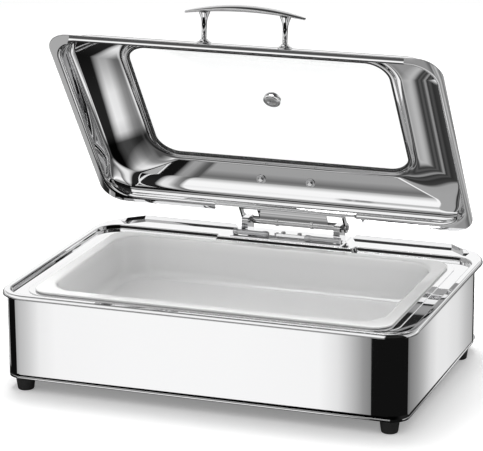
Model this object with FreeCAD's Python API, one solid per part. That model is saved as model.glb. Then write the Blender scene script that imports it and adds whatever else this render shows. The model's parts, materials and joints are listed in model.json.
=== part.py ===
"""Electric bain-marie: a mirror-steel water bath with a porcelain food pan and a hinged
glass-window lid, standing open. Millimetres, +Z up, front towards -Y, origin on the ground
under the centre of the case. The lid is modelled shut and then swung open about its pivot."""

import FreeCAD
import Part
import math
import os

V = FreeCAD.Vector

# Food pan, which the case is built round
PAN_LENGTH = 530.0         # full-size gastronorm
PAN_WIDTH = 325.0
PAN_DEPTH = 64.0
PAN_CORNER = 27.0
PAN_WALL = 4.5
PAN_RIM = 4.0
PAN_RIM_WIDTH = 20.0
PAN_RIM_ROUND = 1.8
PAN_MOUTH_ROUND = 2.4
PAN_TAPER = 9.0
PAN_FLOOR_ROUND = 11.0

# Case
PAN_SIDE = 42.5            # lip edge to the food pan, left and right
PAN_FRONT = 34.0
PAN_REAR = 79.0
CASE_HEIGHT = 124.0        # base plate underside to deck
FOOT_HEIGHT = 22.0
SHEET = 1.2                # pressed steel
FRONT_CORNER = 45.0        # lip corner radii in plan
REAR_CORNER = 70.0
LIP_DROP = 6.0
LIP_FLARE = 3.0
LIP_ROUND = 1.2            # rounding along the top of the lip
SKIRT_INSET = 7.5          # lip edge to the skirt below it
RAIL_FOOT = 12.0           # level leg of the angles inside the skirt's foot
RAIL_LEG = 10.0
RAIL_END_GAP = 8.0         # end of an angle to the rolled corner
FRAME_BRACKET_LEG = 22.0
FRAME_BRACKET_ARM = 11.0   # arm of the front brackets
FRAME_BRACKET_WIDE = 24.0
FRAME_BRACKET_END = 75.0   # rolled corner to the bracket's middle
OVER = 1.0                 # how far a cutting shape stands beyond what it cuts

# Sunken ledge that takes the pans and the lid's rim
RECESS_DEPTH = 6.0
RECESS_SIDE = 12.5         # lip edge to recess
RECESS_FRONT = 13.0
RECESS_REAR = 55.0         # the deck behind it carries the hinge
RECESS_CORNER = 33.0
BAY_HALF = 110.0           # deck tongue that reaches forward to the hinge
BAY_REACH = 10.5
COLLAR_DROP = 10.0

# Raised bead on the rear of the deck
BEAD_HEIGHT = 5.0
BEAD_DEPTH = 7.0
BEAD_FROM_LIP = 5.5
BEAD_FROM_HINGE = 5.0      # hinge plate to the bead
BEAD_START_SLANT = 5.0
BEAD_BEND_INSET = 60.5     # lip edge to the bead's bend
BEAD_END_INSET = 36.5      # lip edge to the bead's end
BEAD_END_DROP = 22.0
BEAD_END_SLANT = 4.5

# Water pan
WATER_SHEET = 1.0
WATER_EDGE_SIDE = 10.5     # flange beyond the food pan, left and right
WATER_LID_GAP = 2.0        # flange to the front wall of the shut lid
WATER_RIM_CORNER = 35.0
WATER_DEPTH = 92.0
WATER_WALL_GAP = 2.2       # between the food pan and the water pan walls
WATER_TAPER = 5.0
WATER_CORNER = 50.0
WATER_FLOOR_ROUND = 8.0
WELL_GAP = 4.5             # water pan to the well in the frame

# Feet and base plate
FOOT_TOP_R = 14.7
FOOT_BOTTOM_R = 11.6
FOOT_FRONT_X = 29.0        # insets from the skirt's outside
FOOT_FRONT_Y = 19.0
FOOT_REAR_X = 20.0
FOOT_REAR_Y = 77.5
FOOT_SCREW_R = 2.5
FOOT_HEAD_R = 4.6
FOOT_HEAD = 2.5
FOOT_HEAD_DEEP = 6.0
FOOT_HEAD_PLAY = 0.4
FOOT_EDGE_ROUND = 1.0
BASE_INSET = 1.0
VENT_COUNT = 7
VENT_LENGTH = 60.0
VENT_WIDTH = 5.0
VENT_PITCH = 16.0
VENT_FROM_SIDE = 180.0     # skirt to the middle of a row of vents
BASE_SCREW_R = 2.0
BASE_SCREW_HEAD_R = 3.8
BASE_SCREW_HEAD = 2.2
BASE_SCREW_FROM_CORNER = 20.0
SCREW_EDGE_ROUND = 1.0     # on the heads of the small screws

# Lid, measured shut
LID_SHEET = 1.2
LID_RIM_GAP = 1.0          # rim to recess wall
LID_SEAT_GAP = 0.3
LID_RIM_WIDTH = 10.5       # rim edge to the foot of the dome
LID_CORNER = 35.0
DOME_CORNER = 42.0         # at the foot of the dome
LID_RISE = 14.0            # steep part of the dome
LID_RISE_DRAFT = 1.5
LID_HEIGHT = 44.0          # rim underside to the window frame
LID_FOOT_ROUND = 9.0
LID_TOP_ROUND = 6.0
WINDOW_SIDE = 93.5         # rim edge to the window, left and right
WINDOW_FRONT = 58.0
WINDOW_REAR = 74.0
WINDOW_CORNER = 36.0
WINDOW_LAND = 9.0          # flat frame round the window
GLASS_THICK = 4.0
GLASS_LAP = 7.0
GLASS_CROWN = 14.0
GLASS_FLAT = 20.0          # half-size of the level middle that carries the vent
SEAL_THICK = 1.5
LID_OPEN = 55.0            # degrees, as photographed

# Vent in the glass
VENT_HOLE_R = 6.0
VENT_CAP_R = 12.5
VENT_CAP_HIGH = 7.0
VENT_NUT_R = 13.0
VENT_NUT_THICK = 3.0
VENT_BORE_R = 2.5

# Lid handle
POST_SPACING = 121.0
POST_R = 3.6
POST_LENGTH = 45.5
POST_TILT = 40.0           # degrees above level when shut
POST_UP = 14.0             # along the front slope from its foot
POST_FLARE_R = 8.5
POST_FLARE = 9.0
CUP_R = 10.5
CUP_RIM_R = 8.0
CUP_HEIGHT = 5.0
GRIP_LENGTH = 178.0
GRIP_WIDE = 24.0
GRIP_THICK = 9.0
GRIP_TIP_WIDE = 9.0
GRIP_TIP_THICK = 3.5
GRIP_BOW = 9.0
GRIP_SECTIONS = 9
GRIP_SINK = 1.2            # posts reach this far into their seats in the grip
NUT_R = 6.0
SMALL_NUT_R = 5.0
NUT_THICK = 3.0
HANDLE_WALL = 1.7          # lid sheet as the post's axis crosses it

# Hinge
PIVOT_HEIGHT = 16.0        # above the deck
PIVOT_FROM_BACK = 12.5     # lip edge to pivot
AXLE_R = 4.0
AXLE_PLAY = 0.05
TOWER_SPACING = 147.0
TOWER_THICK = 10.0
TOWER_DEPTH = 29.0
TOWER_TOP = 7.0            # above the pivot
HINGE_PLATE_THICK = 1.5
HINGE_PLATE_HALF = 88.0
HINGE_PLATE_DEPTH = 54.0
EAR_GAP = 2.0
EAR_THICK = 3.0
EAR_R = 8.0
EAR_BAR = 8.0
LEAF_THICK = 2.5
LEAF_LIFT = 13.5           # leaf underside above the deck when shut
LEAF_REAR_GAP = 4.5        # leaf edge to the towers
PAD_HALF = 56.0
TONGUE_HALF = 55.0
PAD_UP = 44.0
BRACKET_SCREW_SPACING = 78.0
BRACKET_SCREW_UP = 36.0
BRACKET_SCREW_R = 2.5
BRACKET_HEAD_R = 4.6
BRACKET_HEAD = 3.0
BRACKET_WASHER_R = 6.8
BRACKET_WASHER = 1.2
THREAD_END = 2.0           # thread that stands beyond a nut
SLEEVE_R = 6.0
SLEEVE_END_GAP = 1.5
COLLAR_R = 7.2
COLLAR_WIDE = 4.0
COLLAR_SPACING = 56.0
DAMPER_R = 3.7
DAMPER_LENGTH = 50.0
DAMPER_CAP_R = 4.6
DAMPER_CAP = 6.0
DAMPER_FROM_FRONT = 8.0
CLAMP_LENGTH = 52.0
CLAMP_WIDE = 14.0
CLAMP_THICK = 2.0
CLAMP_SCREWS = 26.0
SMALL_SCREW_R = 2.0
SMALL_HEAD_R = 3.4
SMALL_HEAD = 1.8

# Heating
TUBE_R = 4.0
TUBE_SEAT = 0.15
TUBE_FROM_SIDE = 57.7      # bath wall to the tube
TUBE_FROM_FRONT = 53.2
TUBE_BEND = 28.0
TUBE_TAIL_BEND = 19.6
TUBE_TAIL_X = 25.0
TUBE_TAIL = 62.0
TERMINAL_R = 2.0
TERMINAL_LENGTH = 12.0
STRAP_FROM_BEND = 80.0     # end of the loop to a strap
STRAP_LONG = 34.0
STRAP_WIDE = 14.0
STRAP_THICK = 1.5
STRAP_POST_R = 3.0
BULB_R = 3.0
BULB_LENGTH = 90.0
BULB_X = 70.0
CAPILLARY_R = 0.9
CUTOUT_R = 8.0
CUTOUT_THICK = 7.0
CUTOUT_X = -70.0

# Control tray let into the rear wall
TRAY_FROM_CORNER = 35.5    # rolled corner to the tray's opening
TRAY_LENGTH = 164.0
TRAY_HEIGHT = 62.0
TRAY_DEEP = 14.0
TRAY_CORNER = 8.0
TRAY_FLANGE = 8.0
TRAY_Z = 80.0
KNOB_X = 50.0              # from the tray's middle
LAMP_X = 12.0
SWITCH_X = -14.0
INLET_X = -52.0
KNOB_R = 19.0
KNOB_HIGH = 15.0
KNOB_TOP_R = 15.5
KNOB_GAP = 1.5
KNOB_GRIP = 5.0
SHAFT_R = 3.0
SHAFT_PLAY = 0.05
BUSH_R = 5.0
THERMOSTAT_SIZE = 34.0
THERMOSTAT_DEEP = 24.0
LAMP_R = 5.0
LAMP_BEZEL_R = 7.5
SWITCH_WIDE = 19.0
SWITCH_TALL = 28.0
SWITCH_DEEP = 17.0
SWITCH_RIM = 2.0
ROCKER_GAP = 0.4
ROCKER_PIN_R = 1.2
ROCKER_TILT = 8.0
ROCKER_SINK = 2.5
INLET_WIDE = 28.0
INLET_TALL = 20.0
INLET_DEEP = 22.0
INLET_RIM = 3.0
INLET_SOCKET_INSET = 3.0
INLET_SOCKET_DEEP = 16.0
PIN_WIDE = 2.0
PIN_TALL = 4.0
PIN_LONG = 12.0
BLOCK_LONG = 58.0
BLOCK_WIDE = 20.0
BLOCK_HIGH = 15.0
BLOCK_WAYS = 5
BLOCK_X = 30.0

# Levels and edges that follow from the sizes above
CASE_LENGTH = PAN_LENGTH + 2 * PAN_SIDE
CASE_DEPTH = PAN_WIDTH + PAN_FRONT + PAN_REAR
PAN_CENTRE_Y = (PAN_FRONT - PAN_REAR) / 2
DECK = FOOT_HEIGHT + CASE_HEIGHT
LEDGE = DECK - RECESS_DEPTH
HALF_X = CASE_LENGTH / 2
HALF_Y = CASE_DEPTH / 2
SKIRT_X = HALF_X - SKIRT_INSET
SKIRT_Y = HALF_Y - SKIRT_INSET
SKIRT_FRONT_R = FRONT_CORNER - SKIRT_INSET
SKIRT_REAR_R = REAR_CORNER - SKIRT_INSET
SKIRT_TOP = DECK - SHEET
FRONT_STRAIGHT = SKIRT_X - SKIRT_FRONT_R
REAR_STRAIGHT = SKIRT_X - SKIRT_REAR_R
SIDE_Y0 = -SKIRT_Y + SKIRT_FRONT_R
SIDE_Y1 = SKIRT_Y - SKIRT_REAR_R
RECESS_X = HALF_X - RECESS_SIDE
RECESS_Y0 = -HALF_Y + RECESS_FRONT
RECESS_Y1 = HALF_Y - RECESS_REAR
BAY_Y = RECESS_Y1 - BAY_REACH
SKIRT_FOOT = FOOT_HEIGHT + SHEET
WATER_X = PAN_LENGTH / 2 + WATER_EDGE_SIDE
FOOD_SEAT = LEDGE + WATER_SHEET
FOOD_WALL_X = PAN_LENGTH / 2 - PAN_RIM_WIDTH + PAN_WALL
FOOD_WALL_Y = PAN_WIDTH / 2 - PAN_RIM_WIDTH + PAN_WALL
BATH_X = FOOD_WALL_X + WATER_WALL_GAP + WATER_SHEET
BATH_Y = FOOD_WALL_Y + WATER_WALL_GAP + WATER_SHEET
WATER_FLOOR = LEDGE - WATER_DEPTH
PIVOT_Y = HALF_Y - PIVOT_FROM_BACK
PIVOT_Z = DECK + PIVOT_HEIGHT
LID_X = RECESS_X - LID_RIM_GAP
LID_Y0 = RECESS_Y0 + LID_RIM_GAP
LID_Y1 = RECESS_Y1 - LID_RIM_GAP
LID_Z = LEDGE + LID_SEAT_GAP
WATER_Y = PAN_CENTRE_Y - (LID_Y0 + LID_RIM_WIDTH + LID_SHEET + WATER_LID_GAP)
WINDOW_LENGTH = 2 * (LID_X - WINDOW_SIDE)
WINDOW_WIDTH = LID_Y1 - LID_Y0 - WINDOW_FRONT - WINDOW_REAR
WINDOW_Y = LID_Y0 + WINDOW_FRONT + WINDOW_WIDTH / 2
LAND_Z = LID_Z + LID_HEIGHT
GLASS_Z = LAND_Z + SEAL_THICK
TRAY_FACE = SKIRT_Y - TRAY_DEEP
TRAY_CENTRE_X = REAR_STRAIGHT - TRAY_FROM_CORNER - TRAY_LENGTH / 2
BEAD_START = HINGE_PLATE_HALF + BEAD_FROM_HINGE
TOWER_X = TOWER_SPACING / 2
TOWER_Y0 = PIVOT_Y + TOWER_TOP - TOWER_DEPTH
HINGE_PLATE_Y1 = PIVOT_Y + TOWER_TOP
HINGE_PLATE_Y0 = HINGE_PLATE_Y1 - HINGE_PLATE_DEPTH
HINGE_TOP = DECK + HINGE_PLATE_THICK
TUBE_Z = WATER_FLOOR - TUBE_SEAT - TUBE_R
TUBE_HALF_X = BATH_X - WATER_TAPER - TUBE_FROM_SIDE
TUBE_HALF_Y = BATH_Y - WATER_TAPER - TUBE_FROM_FRONT


def outline(x, y0, y1, r_front, r_rear, z):
    """Closed rounded-rectangle wire: half-length x, front y0, rear y1."""
    def corner(cx, cy, r, start):
        pts = []
        for k in range(3):
            a = math.radians(start + 45 * k)
            pts.append(V(cx + r * math.cos(a), cy + r * math.sin(a), z))
        return pts
    corners = [
        corner(x - r_front, y0 + r_front, r_front, -90),
        corner(x - r_rear, y1 - r_rear, r_rear, 0),
        corner(-x + r_rear, y1 - r_rear, r_rear, 90),
        corner(-x + r_front, y0 + r_front, r_front, 180),
    ]
    edges = []
    for i, pts in enumerate(corners):
        edges.append(Part.Arc(*pts).toShape())
        edges.append(Part.LineSegment(pts[2], corners[(i + 1) % 4][0]).toShape())
    return Part.Wire(edges)


def slab(x, y0, y1, r_front, r_rear, z0, z1):
    """Upright prism on a rounded-rectangle outline."""
    return Part.Face(outline(x, y0, y1, r_front, r_rear, z0)).extrude(V(0, 0, z1 - z0))


def loft(*wires):
    """Ruled solid through the given wires."""
    return Part.makeLoft(list(wires), True, True)


def box(x0, y0, z0, x1, y1, z1):
    """Box between two corners."""
    return Part.makeBox(x1 - x0, y1 - y0, z1 - z0, V(x0, y0, z0))


def rod(r, start, direction, length):
    """Cylinder from a point along a direction."""
    return Part.makeCylinder(r, length, start, direction)


def polygon(points, depth):
    """Solid on a polygon, pushed along the vector depth."""
    return Part.Face(Part.makePolygon(points + [points[0]])).extrude(depth)


def rounded(shape, radius, keep):
    """Fillet of the edges whose middle satisfies keep."""
    chosen = [e for e in shape.Edges if keep(e.CenterOfMass)]
    return shape.makeFillet(radius, chosen)


def group(shapes):
    """Several separate solids as one node."""
    return Part.makeCompound(shapes)


# Case


def case_outline(inset, z):
    """Outline of the case at an inset from the edge of the lip."""
    return outline(HALF_X - inset, -HALF_Y + inset, HALF_Y - inset,
                   FRONT_CORNER - inset, REAR_CORNER - inset, z)


def recess_cut(grow, z0, z1):
    """Space of the sunken ledge, grown outwards by a wall, without the deck tongue."""
    space = slab(RECESS_X + grow, RECESS_Y0 - grow, RECESS_Y1 + grow,
                 RECESS_CORNER + grow, RECESS_CORNER + grow, z0, z1)
    half = BAY_HALF - grow
    return space.cut(box(-half, BAY_Y + grow, z0 - 1, half, HALF_Y, z1 + 1))


def bead_face(side, z):
    """Plan of one half of the rear bead: a mitred strip with slanted ends."""
    y0 = HALF_Y - BEAD_FROM_LIP - BEAD_DEPTH
    bend_x = HALF_X - BEAD_BEND_INSET
    end_x = HALF_X - BEAD_END_INSET
    turn = math.atan2(BEAD_END_DROP, end_x - bend_x)
    run_x = math.cos(turn)
    run_y = -math.sin(turn)
    pts = [
        (BEAD_START, y0),
        (bend_x, y0),
        (end_x, y0 - BEAD_END_DROP),
        (end_x - BEAD_DEPTH * run_y + BEAD_END_SLANT * run_x,
         y0 - BEAD_END_DROP + BEAD_DEPTH * run_x + BEAD_END_SLANT * run_y),
        (bend_x + BEAD_DEPTH * math.tan(turn / 2), y0 + BEAD_DEPTH),
        (BEAD_START + BEAD_START_SLANT, y0 + BEAD_DEPTH),
    ]
    corners = [V(side * px, py, z) for px, py in pts]
    return Part.Face(Part.makePolygon(corners + [corners[0]]))


def bead(side, inset, z0, z1):
    """One half of the rear bead as a solid, drawn in on all sides by an inset."""
    face = bead_face(side, z0)
    if inset:
        face = face.makeOffset2D(-inset, 2)
    return face.extrude(V(0, 0, z1 - z0))


def top_frame():
    """Pressed deck with its flared lip, sunken ledge, hinge tongue, well and rear bead."""
    skin = loft(case_outline(0, DECK - LIP_DROP), case_outline(LIP_FLARE, DECK))
    skin = rounded(skin, LIP_ROUND, lambda c: abs(c.z - DECK) < 0.01)
    under = loft(case_outline(SHEET, DECK - LIP_DROP - 0.01),
                 case_outline(LIP_FLARE + SHEET, DECK - SHEET))
    frame = skin.cut(under)
    frame = frame.fuse(recess_cut(SHEET, LEDGE - SHEET, DECK))
    frame = frame.cut(recess_cut(0, LEDGE, DECK + 1))
    well_x = BATH_X + WELL_GAP
    well_y = BATH_Y + WELL_GAP
    well_r = WATER_CORNER + WELL_GAP
    collar = slab(well_x + SHEET, PAN_CENTRE_Y - well_y - SHEET, PAN_CENTRE_Y + well_y + SHEET,
                  well_r + SHEET, well_r + SHEET, LEDGE - SHEET - COLLAR_DROP, LEDGE)
    frame = frame.fuse(collar)
    well = slab(well_x, PAN_CENTRE_Y - well_y, PAN_CENTRE_Y + well_y,
                well_r, well_r, LEDGE - COLLAR_DROP - 2 * SHEET, LEDGE + 1)
    frame = frame.cut(well)
    for side in (-1, 1):
        frame = frame.fuse(bead(side, 0, DECK - SHEET / 2, DECK + BEAD_HEIGHT))
    for side in (-1, 1):
        frame = frame.cut(bead(side, SHEET, DECK - 2 * SHEET, DECK + BEAD_HEIGHT - SHEET))
    return frame.removeSplitter()


def tray_hole(grow, y0, y1):
    """Rounded opening of the control tray through the rear wall."""
    face = outline(TRAY_LENGTH / 2 + grow, -TRAY_HEIGHT / 2 - grow, TRAY_HEIGHT / 2 + grow,
                   TRAY_CORNER + grow, TRAY_CORNER + grow, 0)
    solid = Part.Face(face).extrude(V(0, 0, y1 - y0))
    solid.rotate(V(0, 0, 0), V(1, 0, 0), -90)
    solid.translate(V(TRAY_CENTRE_X, y0, TRAY_Z))
    return solid


def skirt_panels():
    """Four straight panels of the skirt; the rear one has the opening for the tray."""
    z0 = SKIRT_FOOT
    z1 = SKIRT_TOP
    front = box(-FRONT_STRAIGHT, -SKIRT_Y, z0, FRONT_STRAIGHT, -SKIRT_Y + SHEET, z1)
    rear = box(-REAR_STRAIGHT, SKIRT_Y - SHEET, z0, REAR_STRAIGHT, SKIRT_Y, z1)
    rear = rear.cut(tray_hole(0, TRAY_FACE, HALF_Y))
    left = box(-SKIRT_X, SIDE_Y0, z0, -SKIRT_X + SHEET, SIDE_Y1, z1)
    right = box(SKIRT_X - SHEET, SIDE_Y0, z0, SKIRT_X, SIDE_Y1, z1)
    return {"skirt_front": front, "skirt_rear": rear, "skirt_left": left, "skirt_right": right}


def skirt_corners():
    """Four rolled corner strips, butt-welded between the panels."""
    height = SKIRT_TOP - SKIRT_FOOT
    strip = Part.Face(case_outline(SKIRT_INSET, SKIRT_FOOT)).extrude(V(0, 0, height))
    room = Part.Face(case_outline(SKIRT_INSET + SHEET, SKIRT_FOOT - OVER))
    strip = strip.cut(room.extrude(V(0, 0, height + 2 * OVER)))
    parts = []
    for side in (-1, 1):
        for x, y, edge in ((FRONT_STRAIGHT, SIDE_Y0, -HALF_Y), (REAR_STRAIGHT, SIDE_Y1, HALF_Y)):
            x0, x1 = sorted((side * x, side * HALF_X))
            y0, y1 = sorted((y, edge))
            parts.append(strip.common(box(x0, y0, SKIRT_FOOT, x1, y1, SKIRT_TOP)))
    return group(parts)


def angle(x0, y0, x1, y1, wall):
    """Steel angle on the base plate, with its upright leg against a wall of the skirt."""
    z = SKIRT_FOOT
    level = box(x0, y0, z, x1, y1, z + SHEET)
    upright = {
        "front": (x0, y0, x1, y0 + SHEET), "rear": (x0, y1 - SHEET, x1, y1),
        "left": (x0, y0, x0 + SHEET, y1), "right": (x1 - SHEET, y0, x1, y1),
    }[wall]
    leg = box(upright[0], upright[1], z, upright[2], upright[3], z + RAIL_LEG)
    return level.fuse(leg).removeSplitter()


def base_rails():
    """Four angles inside the foot of the skirt that take the base plate's screws."""
    x = SKIRT_X - SHEET
    y = SKIRT_Y - SHEET
    front = FRONT_STRAIGHT - RAIL_END_GAP
    rear = REAR_STRAIGHT - RAIL_END_GAP
    y0 = SIDE_Y0 + RAIL_END_GAP
    y1 = SIDE_Y1 - RAIL_END_GAP
    rails = [angle(-front, -y, front, -y + RAIL_FOOT, "front"), angle(-rear, y - RAIL_FOOT, rear, y, "rear"),
             angle(-x, y0, -x + RAIL_FOOT, y1, "left"), angle(x - RAIL_FOOT, y0, x, y1, "right")]
    holes = group([rod(BASE_SCREW_R, V(px, py, SKIRT_FOOT - OVER), V(0, 0, 1), SHEET + 2 * OVER)
                   for px, py in base_screw_places()])
    return group([rail.cut(holes) for rail in rails])


def foot_places():
    """Name and plan position of each foot."""
    x0 = SKIRT_X - FOOT_FRONT_X
    x1 = SKIRT_X - FOOT_REAR_X
    front = -SKIRT_Y + FOOT_FRONT_Y
    rear = SKIRT_Y - FOOT_REAR_Y
    return [("front_left", -x0, front), ("front_right", x0, front),
            ("rear_left", -x1, rear), ("rear_right", x1, rear)]


def foot(x, y):
    """Tapered rubber foot with a counterbore for its screw."""
    body = Part.makeCone(FOOT_BOTTOM_R, FOOT_TOP_R, FOOT_HEIGHT, V(x, y, 0))
    body = rounded(body, FOOT_EDGE_ROUND, lambda c: c.z < 0.01)
    body = body.cut(rod(FOOT_HEAD_R + FOOT_HEAD_PLAY, V(x, y, -OVER), V(0, 0, 1), FOOT_HEAD_DEEP + OVER))
    return body.cut(rod(FOOT_SCREW_R, V(x, y, 0), V(0, 0, 1), FOOT_HEIGHT + OVER))


def foot_screws():
    """Screws that hold the feet to the base plate, with their nuts inside."""
    parts = []
    top = FOOT_HEIGHT + SHEET
    for _, x, y in foot_places():
        head = rod(FOOT_HEAD_R, V(x, y, FOOT_HEAD_DEEP - FOOT_HEAD), V(0, 0, 1), FOOT_HEAD)
        shank = rod(FOOT_SCREW_R, V(x, y, FOOT_HEAD_DEEP - FOOT_HEAD), V(0, 0, 1),
                    top + NUT_THICK + THREAD_END - FOOT_HEAD_DEEP + FOOT_HEAD)
        nut = rod(SMALL_NUT_R, V(x, y, top), V(0, 0, 1), NUT_THICK)
        parts.append(head.fuse(shank).fuse(nut).removeSplitter())
    return group(parts)


def base_screw_places():
    """Screw positions along the angles inside the skirt."""
    inset = SHEET + RAIL_FOOT / 2
    x = SKIRT_X - inset
    y = SKIRT_Y - inset
    across = REAR_STRAIGHT - BASE_SCREW_FROM_CORNER
    places = [(sx * across, sy * y) for sx in (-1, 0, 1) for sy in (-1, 1)]
    places += [(sx * x, 0) for sx in (-1, 1)]
    return places


def base_plate():
    """Plate that closes the bottom, with vents and screw holes."""
    inset = SKIRT_INSET + BASE_INSET
    plate = Part.Face(case_outline(inset, FOOT_HEIGHT)).extrude(V(0, 0, SHEET))
    low = FOOT_HEIGHT - OVER
    deep = SHEET + 2 * OVER
    cuts = []
    for side in (-1, 1):
        for k in range(VENT_COUNT):
            y = (k - (VENT_COUNT - 1) / 2) * VENT_PITCH
            x = side * (SKIRT_X - VENT_FROM_SIDE)
            cuts.append(box(x - VENT_LENGTH / 2, y - VENT_WIDTH / 2, low,
                            x + VENT_LENGTH / 2, y + VENT_WIDTH / 2, low + deep))
    for _, x, y in foot_places():
        cuts.append(rod(FOOT_SCREW_R, V(x, y, low), V(0, 0, 1), deep))
    for x, y in base_screw_places():
        cuts.append(rod(BASE_SCREW_R, V(x, y, low), V(0, 0, 1), deep))
    return plate.cut(group(cuts))


def base_screws():
    """Screws through the base plate into the angles inside the skirt."""
    parts = []
    bottom = FOOT_HEIGHT - BASE_SCREW_HEAD
    for x, y in base_screw_places():
        head = rod(BASE_SCREW_HEAD_R, V(x, y, bottom), V(0, 0, 1), BASE_SCREW_HEAD)
        head = rounded(head, SCREW_EDGE_ROUND, lambda c: c.z < bottom + 0.01)
        shank = rod(BASE_SCREW_R, V(x, y, bottom), V(0, 0, 1), BASE_SCREW_HEAD + 2 * SHEET + THREAD_END)
        parts.append(head.fuse(shank).removeSplitter())
    return group(parts)


def frame_brackets():
    """Angle brackets that hold the frame's ledge to the skirt."""
    leg = FRAME_BRACKET_LEG
    half = FRAME_BRACKET_WIDE / 2
    top = LEDGE - SHEET
    parts = []
    across = FRONT_STRAIGHT - FRAME_BRACKET_END
    y = -SKIRT_Y + SHEET
    for x in (-across, 0, across):
        wall = box(x - half, y, top - leg, x + half, y + SHEET, top)
        arm = box(x - half, y, top - SHEET, x + half, y + FRAME_BRACKET_ARM, top)
        parts.append(wall.fuse(arm).removeSplitter())
    x = SKIRT_X - SHEET
    for y in (SIDE_Y0 + FRAME_BRACKET_END, SIDE_Y1 - FRAME_BRACKET_END):
        wall = box(x - SHEET, y - half, top - leg, x, y + half, top)
        arm = box(x - leg, y - half, top - SHEET, x, y + half, top)
        piece = wall.fuse(arm).removeSplitter()
        parts += [piece, piece.mirror(V(0, 0, 0), V(1, 0, 0))]
    return group(parts)


# Pans


def pan_outline(x, y, r, z):
    """Outline centred on the pans."""
    return outline(x, PAN_CENTRE_Y - y, PAN_CENTRE_Y + y, r, r, z)


def food_pan():
    """Porcelain pan with a broad rounded rim and drawn-in walls."""
    top = FOOD_SEAT + PAN_RIM
    floor = top - PAN_DEPTH
    rim_x = PAN_LENGTH / 2
    rim_y = PAN_WIDTH / 2
    wall_r = PAN_CORNER + PAN_RIM_WIDTH
    rim = Part.Face(pan_outline(rim_x, rim_y, PAN_CORNER, FOOD_SEAT)).extrude(V(0, 0, PAN_RIM))
    rim = rounded(rim, PAN_RIM_ROUND, lambda c: abs(c.z - FOOD_SEAT - PAN_RIM / 2) > PAN_RIM * 0.4)
    outside = loft(pan_outline(FOOD_WALL_X - PAN_TAPER, FOOD_WALL_Y - PAN_TAPER, wall_r, floor),
                   pan_outline(FOOD_WALL_X, FOOD_WALL_Y, wall_r + PAN_WALL, FOOD_SEAT + PAN_RIM / 2))
    outside = rounded(outside, PAN_FLOOR_ROUND + PAN_WALL, lambda c: abs(c.z - floor) < 0.01)
    inner_x = FOOD_WALL_X - PAN_WALL
    inner_y = FOOD_WALL_Y - PAN_WALL
    inside = loft(
        pan_outline(inner_x - PAN_TAPER, inner_y - PAN_TAPER, wall_r - PAN_WALL, floor + PAN_WALL),
        pan_outline(inner_x, inner_y, wall_r, top + 1))
    inside = rounded(inside, PAN_FLOOR_ROUND, lambda c: abs(c.z - floor - PAN_WALL) < 0.01)
    pan = rim.fuse(outside).cut(inside)
    edge = [e for e in pan.Edges if abs(e.CenterOfMass.z - top) < 0.01
            and e.BoundBox.ZLength < 0.01
            and abs(e.CenterOfMass.x) < inner_x + 1 and abs(e.CenterOfMass.y - PAN_CENTRE_Y) < inner_y + 1]
    return pan.makeFillet(PAN_MOUTH_ROUND, edge).removeSplitter()


def water_pan():
    """Steel bath with a flange that lies on the ledge."""
    flange = Part.Face(pan_outline(WATER_X, WATER_Y, WATER_RIM_CORNER, LEDGE))
    flange = flange.extrude(V(0, 0, WATER_SHEET))
    low_x = BATH_X - WATER_TAPER
    low_y = BATH_Y - WATER_TAPER
    outside = loft(pan_outline(low_x, low_y, WATER_CORNER, WATER_FLOOR),
                   pan_outline(BATH_X, BATH_Y, WATER_CORNER, LEDGE + WATER_SHEET))
    outside = rounded(outside, WATER_FLOOR_ROUND + WATER_SHEET, lambda c: abs(c.z - WATER_FLOOR) < 0.01)
    inside = loft(
        pan_outline(low_x - WATER_SHEET, low_y - WATER_SHEET, WATER_CORNER - WATER_SHEET,
                    WATER_FLOOR + WATER_SHEET),
        pan_outline(BATH_X - WATER_SHEET, BATH_Y - WATER_SHEET, WATER_CORNER - WATER_SHEET,
                    LEDGE + WATER_SHEET + 0.01))
    inside = rounded(inside, WATER_FLOOR_ROUND, lambda c: abs(c.z - WATER_FLOOR - WATER_SHEET) < 0.01)
    return flange.fuse(outside).cut(inside).removeSplitter()


# Heating under the water pan


def bent_wire(points, radii):
    """Wire of straight runs joined by tangent arcs at the inner points."""
    edges = []
    start = points[0]
    for i in range(1, len(points) - 1):
        a = (points[i - 1] - points[i]).normalize()
        b = (points[i + 1] - points[i]).normalize()
        half = a.getAngle(b) / 2
        back = radii[i - 1] / math.tan(half)
        p = points[i] + a * back
        q = points[i] + b * back
        middle = (a + b).normalize()
        centre = points[i] + middle * (radii[i - 1] / math.sin(half))
        m = centre - middle * radii[i - 1]
        edges.append(Part.LineSegment(start, p).toShape())
        edges.append(Part.Arc(p, m, q).toShape())
        start = q
    edges.append(Part.LineSegment(start, points[-1]).toShape())
    return Part.Wire(edges)


def tube(points, radii, r):
    """Round bar swept along a bent wire."""
    path = bent_wire(points, radii)
    direction = points[1] - points[0]
    ring = Part.Wire(Part.makeCircle(r, points[0], direction))
    return path.makePipeShell([ring], True, False)


def element_points():
    """Route of the sheathed element under the bath, open towards the rear."""
    y1 = PAN_CENTRE_Y + TUBE_HALF_Y
    y0 = PAN_CENTRE_Y - TUBE_HALF_Y
    tail = y1 + TUBE_TAIL
    x = TUBE_HALF_X
    plan = [(TUBE_TAIL_X, tail), (TUBE_TAIL_X, y1), (x, y1), (x, y0),
            (-x, y0), (-x, y1), (-TUBE_TAIL_X, y1), (-TUBE_TAIL_X, tail)]
    return [V(px, py, TUBE_Z) for px, py in plan]


def heating_element():
    """Sheathed tube with a terminal pin at each end."""
    pts = element_points()
    bends = [TUBE_TAIL_BEND] + [TUBE_BEND] * 4 + [TUBE_TAIL_BEND]
    body = tube(pts, bends, TUBE_R)
    for p in (pts[0], pts[-1]):
        body = body.fuse(rod(TERMINAL_R, p - V(0, 1, 0), V(0, 1, 0), TERMINAL_LENGTH + 1))
    return body.removeSplitter()


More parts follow.
